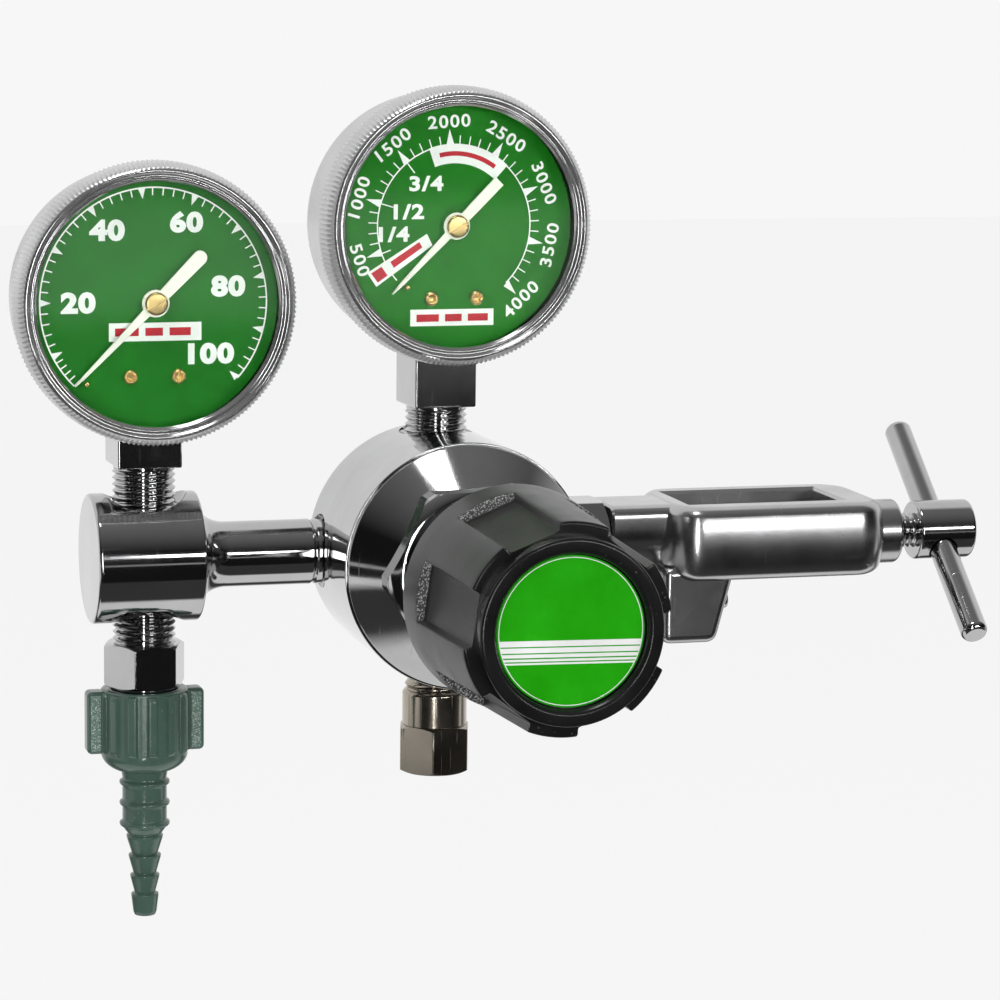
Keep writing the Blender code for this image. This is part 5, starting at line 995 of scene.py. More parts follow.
def nut_shape():
    mirrored = [(-offset, rise) for offset, rise in reversed(RIB_SECTION[1:])] + list(RIB_SECTION)
    columns = []
    for rib in range(NUT_RIBS):
        columns += [(NUT_TURN + (rib + offset) * 360 / NUT_RIBS, rise) for offset, rise in mirrored]
    angles = [math.radians(angle) for angle, rise in columns]
    levels = [(NUT_BOTTOM, NUT_HOLE), (NUT_SEAT, NUT_HOLE), (NUT_SEAT, NUT_BORE), (NUT_TOP - 0.5, NUT_BORE),
              (NUT_TOP - 0.1, NUT_BORE + 0.3), (NUT_TOP, NUT_BORE + 0.7), (NUT_TOP, 8.8),
              (NUT_TOP - 0.12, 9.2), (NUT_TOP - 0.4, 9.45)]
    for height, share in RIB_ENDS:
        radii = [NUT_VALLEY + (NUT_RADIUS - NUT_VALLEY) * rise * share for angle, rise in columns]
        levels.append((height, radii))
    nut = loft(levels + list(DOME), angles, closed=True)
    wings = []
    for side in (-1, 1):
        inner, outer = sorted((side * WING_ROOT, side * WING_TIP))
        wings.append(block((inner, -WING_HALF, WING_BOTTOM), (outer, WING_HALF, WING_TOP), 1.1, 5))
    return together(nut, *wings)


def wing_finish(centre, normal):
    """Frosted faces on the wings' front and back, with painted glints; smooth plastic elsewhere."""
    return 1 if abs(centre.x) > 10.0 and abs(normal.y) > 0.95 else 0


def barb_shape():
    profile = [(1.3, -33.0), (3.0, -33.0), (3.0, -38.3), (6.4, -38.3), (6.4, -43.1), (5.2, -43.1),
               (5.2, NUT_BOTTOM, 0.3), (BARB_STEM, NUT_BOTTOM - 1.6, 0.4)]
    for bead in BEADS:
        profile += [(radius, bead + rise, 0.3) for radius, rise in BEAD_SECTION]
    profile.append((3.6, TEETH[0][0] + 0.3, 0.2))
    ends = [top for top, radius in TEETH[1:]] + [BARB_END + 0.6]
    waists = [radius - 0.75 for top, radius in TEETH[1:]] + [2.56]
    for (top, radius), end, waist in zip(TEETH, ends, waists):
        profile += [(radius, top, 0.12), (radius, top - 0.4, 0.15), (waist, end + 0.2, 0.15)]
    profile += [(2.26, BARB_END, 0.2), (1.3, BARB_END)]
    return turned(profile, 0.1, closed=True)


class HoseOperator(bpy.types.Operator):
    """Make the wing nut and the hose barb"""

    bl_idname = "regulator.hose"
    bl_label = "Wing nut and barb"

    def execute(self, context):
        finishes = ["hose_green", "frosted_green"]
        piece("wing_nut_moulding", nut_shape(), OUTLET, finishes, "nut", "wing_nut",
              wing_finish)
        piece("barb_moulding", barb_shape(), OUTLET, "hose_green", "barb", "hose_barb")
        return {"FINISHED"}


# Relief valve

RELIEF_SHOULDER = -31.9
RELIEF_HEX_TOP = -39.7
RELIEF_END = -50.4
RELIEF_BORE = 5.0


def relief_shape():
    seat = RELIEF_SHOULDER - 3.0
    barrel = [(RELIEF_BORE, RELIEF_HEX_TOP - 1), (RELIEF_BORE, seat), (1.5, seat), (1.5, RELIEF_SHOULDER),
              (6.6, RELIEF_SHOULDER, 0.2), (7.2, RELIEF_SHOULDER - 0.7, 0.3), (7.2, RELIEF_HEX_TOP - 1)]
    head = combine(hexagon(15.0, RELIEF_END, RELIEF_HEX_TOP, -16.0, edge=0.3),
                   ("DIFFERENCE", rod(RELIEF_BORE, RELIEF_END - 1, RELIEF_HEX_TOP + 1)))
    screw = pipe_thread(6.7, RELIEF_SHOULDER - 0.3, 6 - PORT_FACE, 1.5)
    return together(turned(barrel, 0.2, closed=True), head, screw)


class ReliefOperator(bpy.types.Operator):
    """Make the relief valve's body under the regulator"""

    bl_idname = "regulator.relief"
    bl_label = "Relief valve"

    def execute(self, context):
        piece("relief_cartridge", relief_shape(), RELIEF, "nickel_plate",
              "regulator", "relief_body")
        return {"FINISHED"}


# Inlet stem and yoke

NECK_START = 38.5
YOKE_START = 50.5
YOKE_END = 103.0
YOKE_TOP = 9.2
YOKE_BOTTOM = -7.5
YOKE_HALF = 17.3
WINDOW_START = 56.3
WINDOW_END = 92.8
WINDOW_HALF = 9.7
WINDOW_RIM = 0.7
SEAT_X = 61.5
TAB_BACK = 49.6
TAB_BOTTOM = -21.9
TAB_HALF = 13.0
PIN_CIRCLE = 14.29
PIN_ANGLE = 18
BOSS_RADIUS = 7.35
BOSS_END = 109.2
YOKE_EDGE = 2.2
YOKE_CROWN = 1.3
CORNER_START = 94.5
# Distance along the yoke from its start, and its half width there
SHOULDER_CURVE = ((-0.2, 6.5), (0.1, 9.0), (0.5, 10.8), (1.1, 12.4), (1.8, 13.8), (2.6, 15.0), (3.6, 16.0),
                  (4.7, 16.7), (6.1, 17.15), (7.6, 17.3))


def stem_shape():
    low, high = PORT_FACE - 6, NECK_START + 4
    collar = [(2.0, low), (6.3, low), (6.3, PORT_FACE + 0.3), (9.0, PORT_FACE + 0.3, 0.3), (9.0, 28.0),
              (7.0, 29.5), (6.3, high), (2.0, high)]
    return together(turned(collar, 0.0, closed=True), hexagon(19.1, 28.0, 38.2, edge=0.3))


def yoke_shape():
    corner = YOKE_END - CORNER_START
    side = [(YOKE_START + along, half) for along, half in SHOULDER_CURVE]
    side += [(x, YOKE_HALF) for x in (64.0, 72.0, 80.0, 87.0)]
    side += [(CORNER_START + corner * across, BOSS_RADIUS + (YOKE_HALF - BOSS_RADIUS) * along)
             for along, across in arc((0, 0), 1.0, 0.0, math.pi / 2, 16)]
    outline = side + [(x, -y) for x, y in reversed(side)]
    arms = slab(outline, edge_levels(YOKE_BOTTOM, YOKE_TOP, YOKE_EDGE, YOKE_CROWN))
    top = YOKE_TOP - 0.25
    section = [(-top, -9.2), (-top, 9.2), (-0.85, 9.2), (7.5, 4.6), (7.5, -4.6), (-0.85, -9.2)]
    neck = slab(soften(section, 3.0, closed=True, steps=6),
                ((NECK_START, 0.5), (NECK_START + 0.5, 0.0), (YOKE_START + 3, 0.0)))
    neck = moved(neck, CLAMP_TURN)
    profile = [(0, YOKE_END - 4), (BOSS_RADIUS - 0.2, YOKE_END - 4), (BOSS_RADIUS, YOKE_END + 1.4, 1.2),
               (BOSS_RADIUS, BOSS_END, 0.9), (0, BOSS_END)]
    boss = moved(turned(profile, 0.3, steps=5), CLAMP_TURN)
    window = block((WINDOW_START, -WINDOW_HALF, YOKE_BOTTOM - 3), (WINDOW_END, WINDOW_HALF, YOKE_TOP + 3))
    left, right = WINDOW_START - WINDOW_RIM, WINDOW_END + WINDOW_RIM
    half = WINDOW_HALF + WINDOW_RIM
    spread = 1.45 * WINDOW_RIM
    flare = slab([(left, -half), (right, -half), (right, half), (left, half)],
                 ((YOKE_TOP - WINDOW_RIM, spread), (YOKE_TOP + WINDOW_RIM, -spread)))
    back = WINDOW_START - 2
    seat_top, seat_bottom = YOKE_TOP - 0.4, YOKE_BOTTOM + 0.4
    seat_points = [(back, seat_top), (WINDOW_START + 0.3, seat_top), (SEAT_X - 0.4, 3.9), (SEAT_X, 3.2),
                   (SEAT_X, seat_bottom), (back, seat_bottom)]
    seat_half = WINDOW_HALF + 0.5
    seat = moved(slab(seat_points, ((-seat_half, 0), (seat_half, 0))), FRONT_TURN)
    tab_top = YOKE_BOTTOM + 3
    tab_points = [(TAB_BACK, tab_top), (66.8, tab_top), (62.2, TAB_BOTTOM), (TAB_BACK, TAB_BOTTOM)]
    tab_outline = soften(tab_points, 2.2, closed=True, steps=5)
    tab = moved(slab(tab_outline, edge_levels(-TAB_HALF, TAB_HALF, 1.9)), FRONT_TURN)
    recess = block((SEAT_X, -WINDOW_HALF, -24.0), (69.0, WINDOW_HALF, YOKE_TOP))

    def inlet_bore():
        profile = [(0, SEAT_X + 2), (3.45, SEAT_X + 2), (3.45, 49.2), (2.0, 49.2), (2.0, NECK_START + 8.3),
                   (7.15, NECK_START + 8.3), (7.15, NECK_START - 2), (0, NECK_START - 2)]
        return "DIFFERENCE", moved(lathe(profile, SMALL_SEGMENTS), CLAMP_TURN)

    def screw_bore():
        return "DIFFERENCE", moved(rod(4.3, WINDOW_END - 2, BOSS_END + 2), CLAMP_TURN)

    def pin_bore(way):
        return "DIFFERENCE", moved(rod(2.3, SEAT_X - 6.3, SEAT_X + 2), CLAMP_TURN @ pin_place(way))

    return together(
        combine(arms, ("DIFFERENCE", window), ("DIFFERENCE", flare), inlet_bore(), screw_bore()),
        combine(neck, inlet_bore()), combine(boss, screw_bore()), combine(seat, inlet_bore()),
        combine(tab, ("DIFFERENCE", recess), pin_bore(-1), pin_bore(1)))


def pin_place(way):
    """The place of an index pin on the seat, left for -1 and right for 1."""
    across, beside = polar(PIN_CIRCLE, PIN_ANGLE)
    return shift(across, way * beside)


class InletOperator(bpy.types.Operator):
    """Make the inlet stem, the yoke and the pieces on its seat"""

    bl_idname = "regulator.inlet"
    bl_label = "Stem and yoke"

    def execute(self, context):
        piece("inlet_fitting", stem_shape(), CLAMP, "chrome_plate", "regulator", "inlet_stem")
        piece("yoke_forging", yoke_shape(), BODY, "forged_chrome", "regulator", "yoke_frame")
        nipple = [(2.1, 67.3), (3.15, 67.3, 0.6), (3.15, 49.5), (1.2, 49.5), (1.2, 65.8), (2.1, 65.8)]
        piece("seat_nipple", turned(nipple, 0.0, closed=True), CLAMP, "turned_brass",
              "regulator", "inlet_nipple")
        washer = [(5.7, 64.2), (5.7, 61.8), (3.45, 61.8), (3.45, 64.2)]
        piece("washer_ring", turned(washer, 0.35, closed=True), CLAMP, "black_rubber",
              "regulator", "seal_washer")
        for way, side in ((-1, "left"), (1, "right")):
            pin = turned([(0, 67.3), (2.0, 67.3, 0.8), (2.0, 55.5), (0, 55.5)], 0.0, steps=4)
            piece("yoke_pin_" + side, pin, CLAMP @ pin_place(way), "bright_steel",
                  "regulator", "index_pin_" + side)
        return {"FINISHED"}


# Clamp screw

CLAMP_TIP = 87.6
RING_X = 89.7
HEAD_START = 113.8
HEAD_END = 127.4
HEAD_RADIUS = 6.75
SPINDLE_RADIUS = 4.0
SPINDLE_PITCH = 1.25
SPINDLE_DEPTH = 0.55
BAR_RADIUS = 3.1
BAR_HALF = 32.0


def spindle_shape():
    head = turned([(0, HEAD_END), (HEAD_RADIUS, HEAD_END, 0.9), (HEAD_RADIUS, HEAD_START, 0.8),
                   (0, HEAD_START)], 0.4, steps=4, segments=SEGMENTS)
    hole = moved(rod(BAR_RADIUS + CLEARANCE, -14, 14), CLAMP_TURN.inverted() @ BODY.inverted() @ BAR)
    head = combine(head, ("DIFFERENCE", hole))
    groove_end = RING_X + 0.9
    tip = turned([(0, CLAMP_TIP), (1.6, CLAMP_TIP, 0.3), (3.9, CLAMP_TIP + 1.8, 0.3), (3.9, RING_X - 0.3),
                  (3.2, RING_X - 0.3), (3.2, groove_end), (3.5, groove_end), (3.5, RING_X + 2),
                  (0, RING_X + 2)], 0.0)
    screw = thread(SPINDLE_RADIUS, groove_end, HEAD_START + 0.5, SPINDLE_PITCH, SPINDLE_DEPTH)
    return together(head, tip, screw)


def bar_shape():
    end = BAR_RADIUS - 0.7
    rim = BAR_HALF - 0.9
    return turned([(0, BAR_HALF), (end, BAR_HALF, 0.3), (BAR_RADIUS, rim, 0.5), (BAR_RADIUS, -rim, 0.5),
                   (end, -BAR_HALF, 0.3), (0, -BAR_HALF)], 0.0, steps=4)


class ClampOperator(bpy.types.Operator):
    """Make the clamp screw, its tee bar and its retaining ring"""

    bl_idname = "regulator.clamp"
    bl_label = "Clamp screw"

    def execute(self, context):
        piece("clamp_spindle", spindle_shape(), CLAMP, "chrome_plate", "clamp", "clamp_screw")
        piece("tee_bar", bar_shape(), BAR, "chrome_plate", "clamp", "tommy_bar")
        ring = [(5.6, RING_X + 0.6), (5.6, RING_X), (3.5, RING_X), (3.5, RING_X + 0.6)]
        piece("snap_ring", turned(ring, 0.15, closed=True), CLAMP, "bright_steel",
              "clamp_ring", "retaining_ring")
        return {"FINISHED"}


# Gauges, whose +Z runs out through the glass from the stem's axis

CASE_RADIUS = 28.0
CASE_BACK = -8.5
BEZEL_RADIUS = 30.1
BEZEL_BACK = 8.8
BEZEL_FRONT = 17.3
BEZEL_SEAT = 16.1
KNURL_WAVE = (0.0, 0.75, 1.0, 0.75)
GLASS_RADIUS = 25.9
GLASS_FRONT = 15.8
GLASS_THICKNESS = 1.6
DIAL_RADIUS = 26.8
DIAL_FRONT = 10.8
DIAL_BACK = 10.2
BLOCK_HALF = 7.02
BLOCK_BOTTOM = {"outlet": -36.1, "contents": -40.2}
STEM_BOTTOM = {"outlet": -53.6, "contents": -55.3}
GAUGES = ("outlet", "contents")


def bezel_shape(knurls, depth):
    per_knurl = len(KNURL_WAVE)
    count = knurls * per_knurl
    angles = [TURN * i / count for i in range(count)]

    def knurled(height, share, radius=BEZEL_RADIUS):
        return height, [radius - depth * share * KNURL_WAVE[i % per_knurl] for i in range(count)]

    bore = CASE_RADIUS + CLEARANCE
    levels = [(BEZEL_BACK, bore), (BEZEL_BACK, 29.3), knurled(BEZEL_BACK + 0.15, 0.4, 29.75),
              knurled(BEZEL_BACK + 0.5, 1)]
    levels += [knurled(height, 1) for height in (11.0, 13.2, 14.9)]
    levels += [knurled(15.6, 1, 29.95), knurled(16.2, 1, 29.6), knurled(16.65, 0.8, 29.2),
               knurled(16.95, 0.4, 28.8)]
    inner = soften([(28.55, 17.1), (28.3, 17.28, 0.2), (27.9, BEZEL_FRONT, 0.3), (27.45, 16.8, 0.15),
                    (27.1, 16.75, 0.15), (26.7, 16.95, 0.2), (26.3, 16.7, 0.2),
                    (GLASS_RADIUS, BEZEL_SEAT, 0.1)], 0.1)
    levels += [(height, radius) for radius, height in inner]
    levels += [(BEZEL_SEAT, bore - 0.6), (BEZEL_SEAT, bore)]
    return loft(levels, angles, closed=True)


def bezel_finish(centre, normal):
    """0 knurled rim, 1 polished front."""
    return 1 if math.hypot(centre.x, centre.y) < 28.7 else 0


def case_shape():
    front = GLASS_FRONT - 1.9
    back = CASE_BACK + 0.25
    profile = [(0, CASE_BACK + 0.8), (27.2, CASE_BACK + 0.8, 3.0), (27.2, front), (CASE_RADIUS, front),
               (CASE_RADIUS, CASE_BACK, 3.6), (20.0, CASE_BACK), (19.0, back), (0, back)]
    shape = turned(profile, 0.15, steps=6, segments=SEGMENTS)
    return combine(shape, ("DIFFERENCE", block((-7.3, -30, -7.3), (7.3, -22.0, 7.3))))


def socket_shape(gauge):
    """The square socket with its post and two pillars inside, its neck and its pipe thread."""
    bottom = BLOCK_BOTTOM[gauge]
    square = block((-BLOCK_HALF, bottom, -BLOCK_HALF), (BLOCK_HALF, -24.0, BLOCK_HALF), 0.45)
    post = block((-6.3, -25.0, -6.5), (6.3, -14.0, 2.0), 0.3)
    pillars = [moved(rod(1.3, 1.0, 9.9, PIN_SEGMENTS), pillar_place(side)) for side in (-1, 1)]
    neck = turned([(0, -bottom - 1), (6.6, -bottom - 1), (6.6, -bottom + 0.9, 0.4), (5.9, -bottom + 1.6),
                   (0, -bottom + 1.6)], 0.2)
    screw = pipe_thread(PIPE_RADIUS, -bottom + 0.8, -STEM_BOTTOM[gauge] - 3.0)
    return together(square, post, *pillars, moved(neck, FRONT_TURN), moved(screw, FRONT_TURN))


def pillar_place(side):
    """The place of a pillar and its dial screw, left for -1 and right for 1."""
    return shift(side * 5.15, -15.7)


class GaugeOperator(bpy.types.Operator):
    """Make both gauges' cases, bezels, crystals and sockets"""

    bl_idname = "regulator.gauges"
    bl_label = "Gauge cases"

    def execute(self, context):
        sizes = details()
        back = GLASS_FRONT - GLASS_THICKNESS
        for gauge in GAUGES:
            place = gauge_frame(gauge)
            piece(gauge + "_gauge_case", case_shape(), place, "satin_chrome",
                  "regulator", gauge + "_case")
            bezel = bezel_shape(sizes.knurls, sizes.knurl_depth / mm)
            piece(gauge + "_gauge_bezel", bezel, place, ["knurled_chrome", "polished_bezel"],
                  "regulator", gauge + "_bezel", bezel_finish)
            glass = [(0, back), (CASE_RADIUS, back), (CASE_RADIUS, GLASS_FRONT), (0, GLASS_FRONT)]
            piece(gauge + "_gauge_crystal", turned(glass, 0.2, segments=SEGMENTS), place, "crystal_clear",
                  "regulator", gauge + "_crystal")
            piece(gauge + "_gauge_socket", socket_shape(gauge), place, "chrome_plate",
                  "regulator", gauge + "_socket")
        return {"FINISHED"}


# Dials and pointers

OUTLET_ZERO = 225.3
OUTLET_TEN = 207.0
OUTLET_STEP = 2.77
OUTLET_ARC = 24.2
OUTLET_NUMERALS = {"20": (-16.2, 0.2), "40": (-10.0, 15.4), "60": (7.0, 17.0), "80": (16.0, 3.3),
                   "100": (12.3, -11.0)}
CONTENTS_ZERO = 226.0
CONTENTS_FIRST = 198.5
CONTENTS_STEP = 0.0700
CONTENTS_ARC = 17.5
CONTENTS_NUMERALS = 22.4
FACING_IN = (500, 3500, 4000)
FRACTIONS = {"3/4": (-6.4, 9.1), "1/2": (-10.3, 3.1), "1/4": (-13.6, -1.7)}
FIELD_LIFT = 0.004
RED_LIFT = 0.012
# Left and right ends of the plain red bars across a dial's white field
DASHES = ((-8.4, -3.3), (-1.9, 1.9), (3.3, 7.9))


def outlet_angle(value):
    if value < 10:
        return OUTLET_ZERO + (OUTLET_TEN - OUTLET_ZERO) * value / 10
    return OUTLET_TEN - OUTLET_STEP * (value - 10)


def contents_angle(value):
    if value < 500:
        return CONTENTS_ZERO + (CONTENTS_FIRST - CONTENTS_ZERO) * value / 500
    return CONTENTS_FIRST - CONTENTS_STEP * (value - 500)


def tick(inner, outer, degrees, half):
    """A straight tick with parallel sides."""
    along = Vector(polar(1.0, degrees))
    across = Vector((-along.y, along.x)) * half
    corners = ((inner, -1), (outer, -1), (outer, 1), (inner, 1))
    return [tuple(along * radius + across * side) for radius, side in corners]


def wedge(base, tip, degrees, half):
    """A triangular tick, wide at its base."""
    along = Vector(polar(1.0, degrees))
    across = Vector((-along.y, along.x)) * half
    return [tuple(along * base - across), tuple(along * tip), tuple(along * base + across)]


def bar(left, right, low, high):
    """An upright rectangle's corners."""
    return [(left, low), (right, low), (right, high), (left, high)]


def numeral(text, height, centre, degrees, z, bold=0.03, width=1.0, spread=1.1):
    """Plain figures, scaled to the height that they are given."""
    curve = bpy.data.curves.new("figures", "FONT")
    curve.body = text
    curve.align_x = "CENTER"
    curve.align_y = "CENTER"
    curve.offset = bold
    curve.space_character = spread
    curve.resolution_u = 4
    obj = bpy.data.objects.new("figures", curve)
    bpy.context.scene.collection.objects.link(obj)
    bpy.context.view_layer.update()
    mesh = bpy.data.meshes.new_from_object(obj.evaluated_get(bpy.context.evaluated_depsgraph_get()))
    bpy.data.objects.remove(obj)
    bpy.data.curves.remove(curve)
    shape = bmesh.new()
    shape.from_mesh(mesh)
    bpy.data.meshes.remove(mesh)
    xs = [vert.co.x for vert in shape.verts]
    ys = [vert.co.y for vert in shape.verts]
    scale = height / (max(ys) - min(ys))
    to_centre = shift(-(max(xs) + min(xs)) / 2, -(max(ys) + min(ys)) / 2)
    place = shift(*centre, z) @ turned_by(degrees, "Z") @ Matrix.Diagonal((scale * width, scale, scale, 1))
    return moved(shape, place @ to_centre)


def outlet_print(z):
    marks = []
    for value in range(0, 101, 2):
        angle = outlet_angle(value)
        if value % 10 == 0 and value > 0:
            marks.append(wedge(OUTLET_ARC, OUTLET_ARC - 2.2, angle, 0.75))
        else:
            marks.append(tick(OUTLET_ARC - 1.5, OUTLET_ARC, angle, 0.13))
    ink = [flat_print(marks, z),
           ring_print(OUTLET_ARC, OUTLET_ARC + 0.32, OUTLET_ZERO, outlet_angle(100), z)]
    for text, centre in OUTLET_NUMERALS.items():
        ink.append(numeral(text, 4.6, centre, 0, z, 0.055, 1.2, 1.1))
    ink.append(flat_print([bar(-9.7, 10.2, -8.1, -4.2)], z))
    return together(*ink)


def contents_print(z):
    marks = []
    for value in range(0, 4001, 100):
        angle = contents_angle(value)
        if value % 500 == 0 and value > 0:
            marks.append(wedge(CONTENTS_ARC, CONTENTS_ARC + 3.3, angle, 0.85))
        elif value >= 600:
            marks.append(tick(CONTENTS_ARC, CONTENTS_ARC + 1.9, angle, 0.12))
    ink = [flat_print(marks, z),
           ring_print(CONTENTS_ARC - 0.28, CONTENTS_ARC, 222.0, contents_angle(4000), z)]
    for value in range(500, 4001, 500):
        angle = contents_angle(value)
        facing = angle + 90 if value in FACING_IN else angle - 90
        ink.append(numeral(str(value), 2.8, polar(CONTENTS_NUMERALS, angle), facing, z, 0.02, 1.15, 1.16))
    ink.append(ring_print(13.4, CONTENTS_ARC + 0.1, 47.0, 109.5, z + FIELD_LIFT, 40))
    for text, centre in FRACTIONS.items():
        ink.append(numeral(text, 3.3, centre, 0, z, 0.035, 1.3, 1.12))
    leaders = [tick(14.6, CONTENTS_ARC, contents_angle(1500), 0.12),
               tick(14.4, CONTENTS_ARC, contents_angle(1000), 0.12),
               tick(15.2, CONTENTS_ARC, contents_angle(500) + 1, 0.12)]
    ink.append(flat_print(leaders, z))
    low_field = [(-17.5, -12.9), (-4.9, -4.2), (-6.2, -1.7), (-19.6, -9.9)]
    ink.append(flat_print([low_field], z + FIELD_LIFT))
    ink.append(flat_print([[(-9.8, -21.6), (9.2, -21.7), (9.2, -18.1), (-9.8, -18.0)]], z))
    return together(*ink)


def outlet_red(z):
    return flat_print([bar(left, right, -7.0, -5.3) for left, right in DASHES], z + RED_LIFT)


def contents_red(z):
    square = [(-17.2, -12.0), (-15.0, -10.5), (-16.4, -8.6), (-18.7, -10.0)]
    long_bar = [(-13.6, -8.9), (-7.2, -4.6), (-7.9, -3.4), (-14.4, -7.6)]
    dashes = [bar(left, right, -20.7, -19.1) for left, right in DASHES]
    height = z + RED_LIFT
    return together(flat_print([square, long_bar] + dashes, height),
                    ring_print(15.0, 16.0, 54.0, 103.0, height, 40))


HUB_RADIUS = 2.95
POINTER_REST = 225
# Tip and tail from the hub, and whether the tail is square
POINTERS = {"outlet": (24.4, 15.0, False), "contents": (20.4, 13.6, True)}


def pointer_outline(tip, tail, blunt):
    """The pointer's edge; its tail end is square where blunt, and round otherwise."""
    hub = [polar(HUB_RADIUS, angle) for angle in (155, 140, 120, 100, 80, 60, 40, 22)]
    if blunt:
        start = [(-tail, -1.25), (-tail, 1.25)]
        half = [(-6.0, 1.2), (-2.8, 1.1)] + hub + [(2.9, 0.85), (6.0, 0.74), (tip - 3.0, 0.40), (tip, 0.10)]
    else:
        start = arc((-tail + 1.55, 0), 1.55, 1.5 * math.pi, 0.5 * math.pi, 12)
        half = [(-6.0, 1.35), (-2.8, 1.25)] + hub + [(2.9, 0.95), (7.6, 0.76), (tip - 3.0, 0.36), (tip, 0.10)]
    return start + half + [(x, -y) for x, y in reversed(half)]


def pointer_shape(tip, tail, blunt):
    plate = slab(pointer_outline(tip, tail, blunt), ((12.3, 0.0), (12.7, 0.0), (12.8, 0.08)))
    return combine(plate, ("DIFFERENCE", rod(1.0, 11, 14, PIN_SEGMENTS)))


def arbor_shape():
    profile = [(0, 14.0), (2.1, 14.0, 0.2), (2.45, 13.7, 0.2), (2.45, 13.1, 0.1), (0.7, 13.1), (0.7, 4.1),
               (1.5, 4.1), (1.5, 2.8), (0.7, 2.8), (0.7, 0.9), (0, 0.9)]
    slot = moved(block((-4, -0.28, 13.55), (4, 0.28, 15)), turned_by(30, "Z"))
    return combine(turned(profile, 0.0), ("DIFFERENCE", slot))


def dial_screw_shape(side):
    profile = [(0, 11.2), (0.55, 11.2, 0.1), (0.8, 11.8, 0.2), (1.15, 11.9, 0.3), (1.6, 11.5, 0.3),
               (1.6, 11.1), (0.6, 11.1), (0.6, 6.2), (0, 6.2)]
    slot = moved(block((-2, -0.18, 11.7), (2, 0.18, 13)), turned_by(side * 23, "Z"))
    return combine(turned(profile, 0.0, segments=32), ("DIFFERENCE", slot))


class DialOperator(bpy.types.Operator):
    """Make both dials with their print, screws, stop pins and pointers"""

    bl_idname = "regulator.dials"
    bl_label = "Dials and pointers"

    def execute(self, context):
        z = DIAL_FRONT + details().print_lift / mm
        prints = {"outlet": outlet_print, "contents": contents_print}
        for gauge in GAUGES:
            place = gauge_frame(gauge)
            plate = [(1.5, DIAL_BACK), (DIAL_RADIUS, DIAL_BACK), (DIAL_RADIUS, DIAL_FRONT), (1.5, DIAL_FRONT)]
            piece(gauge + "_dial_plate", turned(plate, 0.1, closed=True, segments=SEGMENTS), place,
                  gauge + "_dial_green", "regulator", gauge + "_dial")
            piece(gauge + "_dial_print", prints[gauge](z), place, "white_ink", "regulator")
            needle = gauge + "_needle"
            piece(needle, pointer_shape(*POINTERS[gauge]), place @ turned_by(POINTER_REST, "Z"),
                  "pointer_paint", needle, gauge + "_pointer")
            piece(gauge + "_hub", arbor_shape(), place, "turned_brass", needle,
                  gauge + "_pointer_arbor")
            for way, side in ((-1, "left"), (1, "right")):
                piece(gauge + "_face_screw_" + side, dial_screw_shape(way), place @ pillar_place(way),
                      "turned_brass", "regulator", gauge + "_dial_screw_" + side)
            pin = turned([(0, 12.8), (0.5, 12.8, 0.3), (0.5, 10.2), (0, 10.2)], 0.0, segments=PIN_SEGMENTS)
            piece(gauge + "_rest_pin", pin, place @ shift(*stop_pin_place(gauge)), "turned_brass",
                  "regulator", gauge + "_stop_pin")
        piece("outlet_dial_red", outlet_red(z), gauge_frame("outlet"), "red_ink", "regulator")
        piece("contents_dial_red", contents_red(z), gauge_frame("contents"), "red_ink",
              "regulator")
        return {"FINISHED"}


def stop_pin_place(gauge):
    """The stop pin's place in the gauge's frame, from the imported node."""
    local = gauge_frame(gauge).inverted() @ middle(gauge + "_stop_pin")
    return local.x, local.y


# Pieces inside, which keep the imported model's shapes

class InsideOperator(bpy.types.Operator):
    """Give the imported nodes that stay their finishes"""

    bl_idname = "regulator.inside"
    bl_label = "Inner pieces"

    def execute(self, context):
        slots = {part["node"]: part["material_slot"] for part in frame["record"]["subparts"]}
        for node, obj in frame["nodes"].items():
            finish = bpy.data.materials[SLOT_FINISHES[slots[node]]]
            for held_slot in obj.material_slots:
                held_slot.material = finish
            if not obj.material_slots:
                obj.data.materials.append(finish)
        return {"FINISHED"}


# Springs and diaphragm

# Joint that loads each spring, its frame, the wire's radius and the turns
SPRINGS = {
    "main_spring": ("button_travel", FRONT, 1.3, 6),
    "poppet_spring": ("poppet_travel", FRONT, 0.35, 4),
    "relief_spring": ("relief_lift", RELIEF, 0.5, 5),
}
COIL_STEPS = 36
WIRE_SIDES = 12


def coil(radius, wire, low, high, turns):
    """A compression spring of round wire, whose first and last turns lie closed."""
    closed_rise = 2.1 * wire
    open_rise = (high - low - 2 * wire - 2 * closed_rise) / (turns - 2)
    shape = bmesh.new()
    rings = []
    for step in range(turns * COIL_STEPS + 1):
        turn = step / COIL_STEPS
        in_closed = min(turn, 1.0) + max(turn - turns + 1.0, 0.0)
        height = low + wire + closed_rise * in_closed + open_rise * (turn - in_closed)
        across = Vector((math.cos(TURN * turn), math.sin(TURN * turn), 0.0))
        ring = []
        for side in range(WIRE_SIDES):
            out, up = polar(wire, 360 * side / WIRE_SIDES)
            ring.append(shape.verts.new(across * (radius + out) + Vector((0.0, 0.0, height + up))))
        rings.append(ring)
    for near, far in zip(rings, rings[1:]):
        for i in range(WIRE_SIDES):
            j = (i + 1) % WIRE_SIDES
            shape.faces.new((near[i], near[j], far[j], far[i]))
    shape.faces.new(rings[0])
    shape.faces.new(rings[-1])
    bmesh.ops.recalc_face_normals(shape, faces=shape.faces)
    return shape


def diaphragm_shape(face, thickness, radius):
    """A rubber disc with a clamped rim, a thin rolling band, and a flat middle under the plate."""
    back = face - thickness
    band = face - 0.45 * thickness
    profile = [(0, back), (radius, back), (radius, face), (20.4, face), (19.6, band), (16.6, band),
               (15.8, face), (0, face)]
    return turned(profile, 0.3, segments=SEGMENTS)


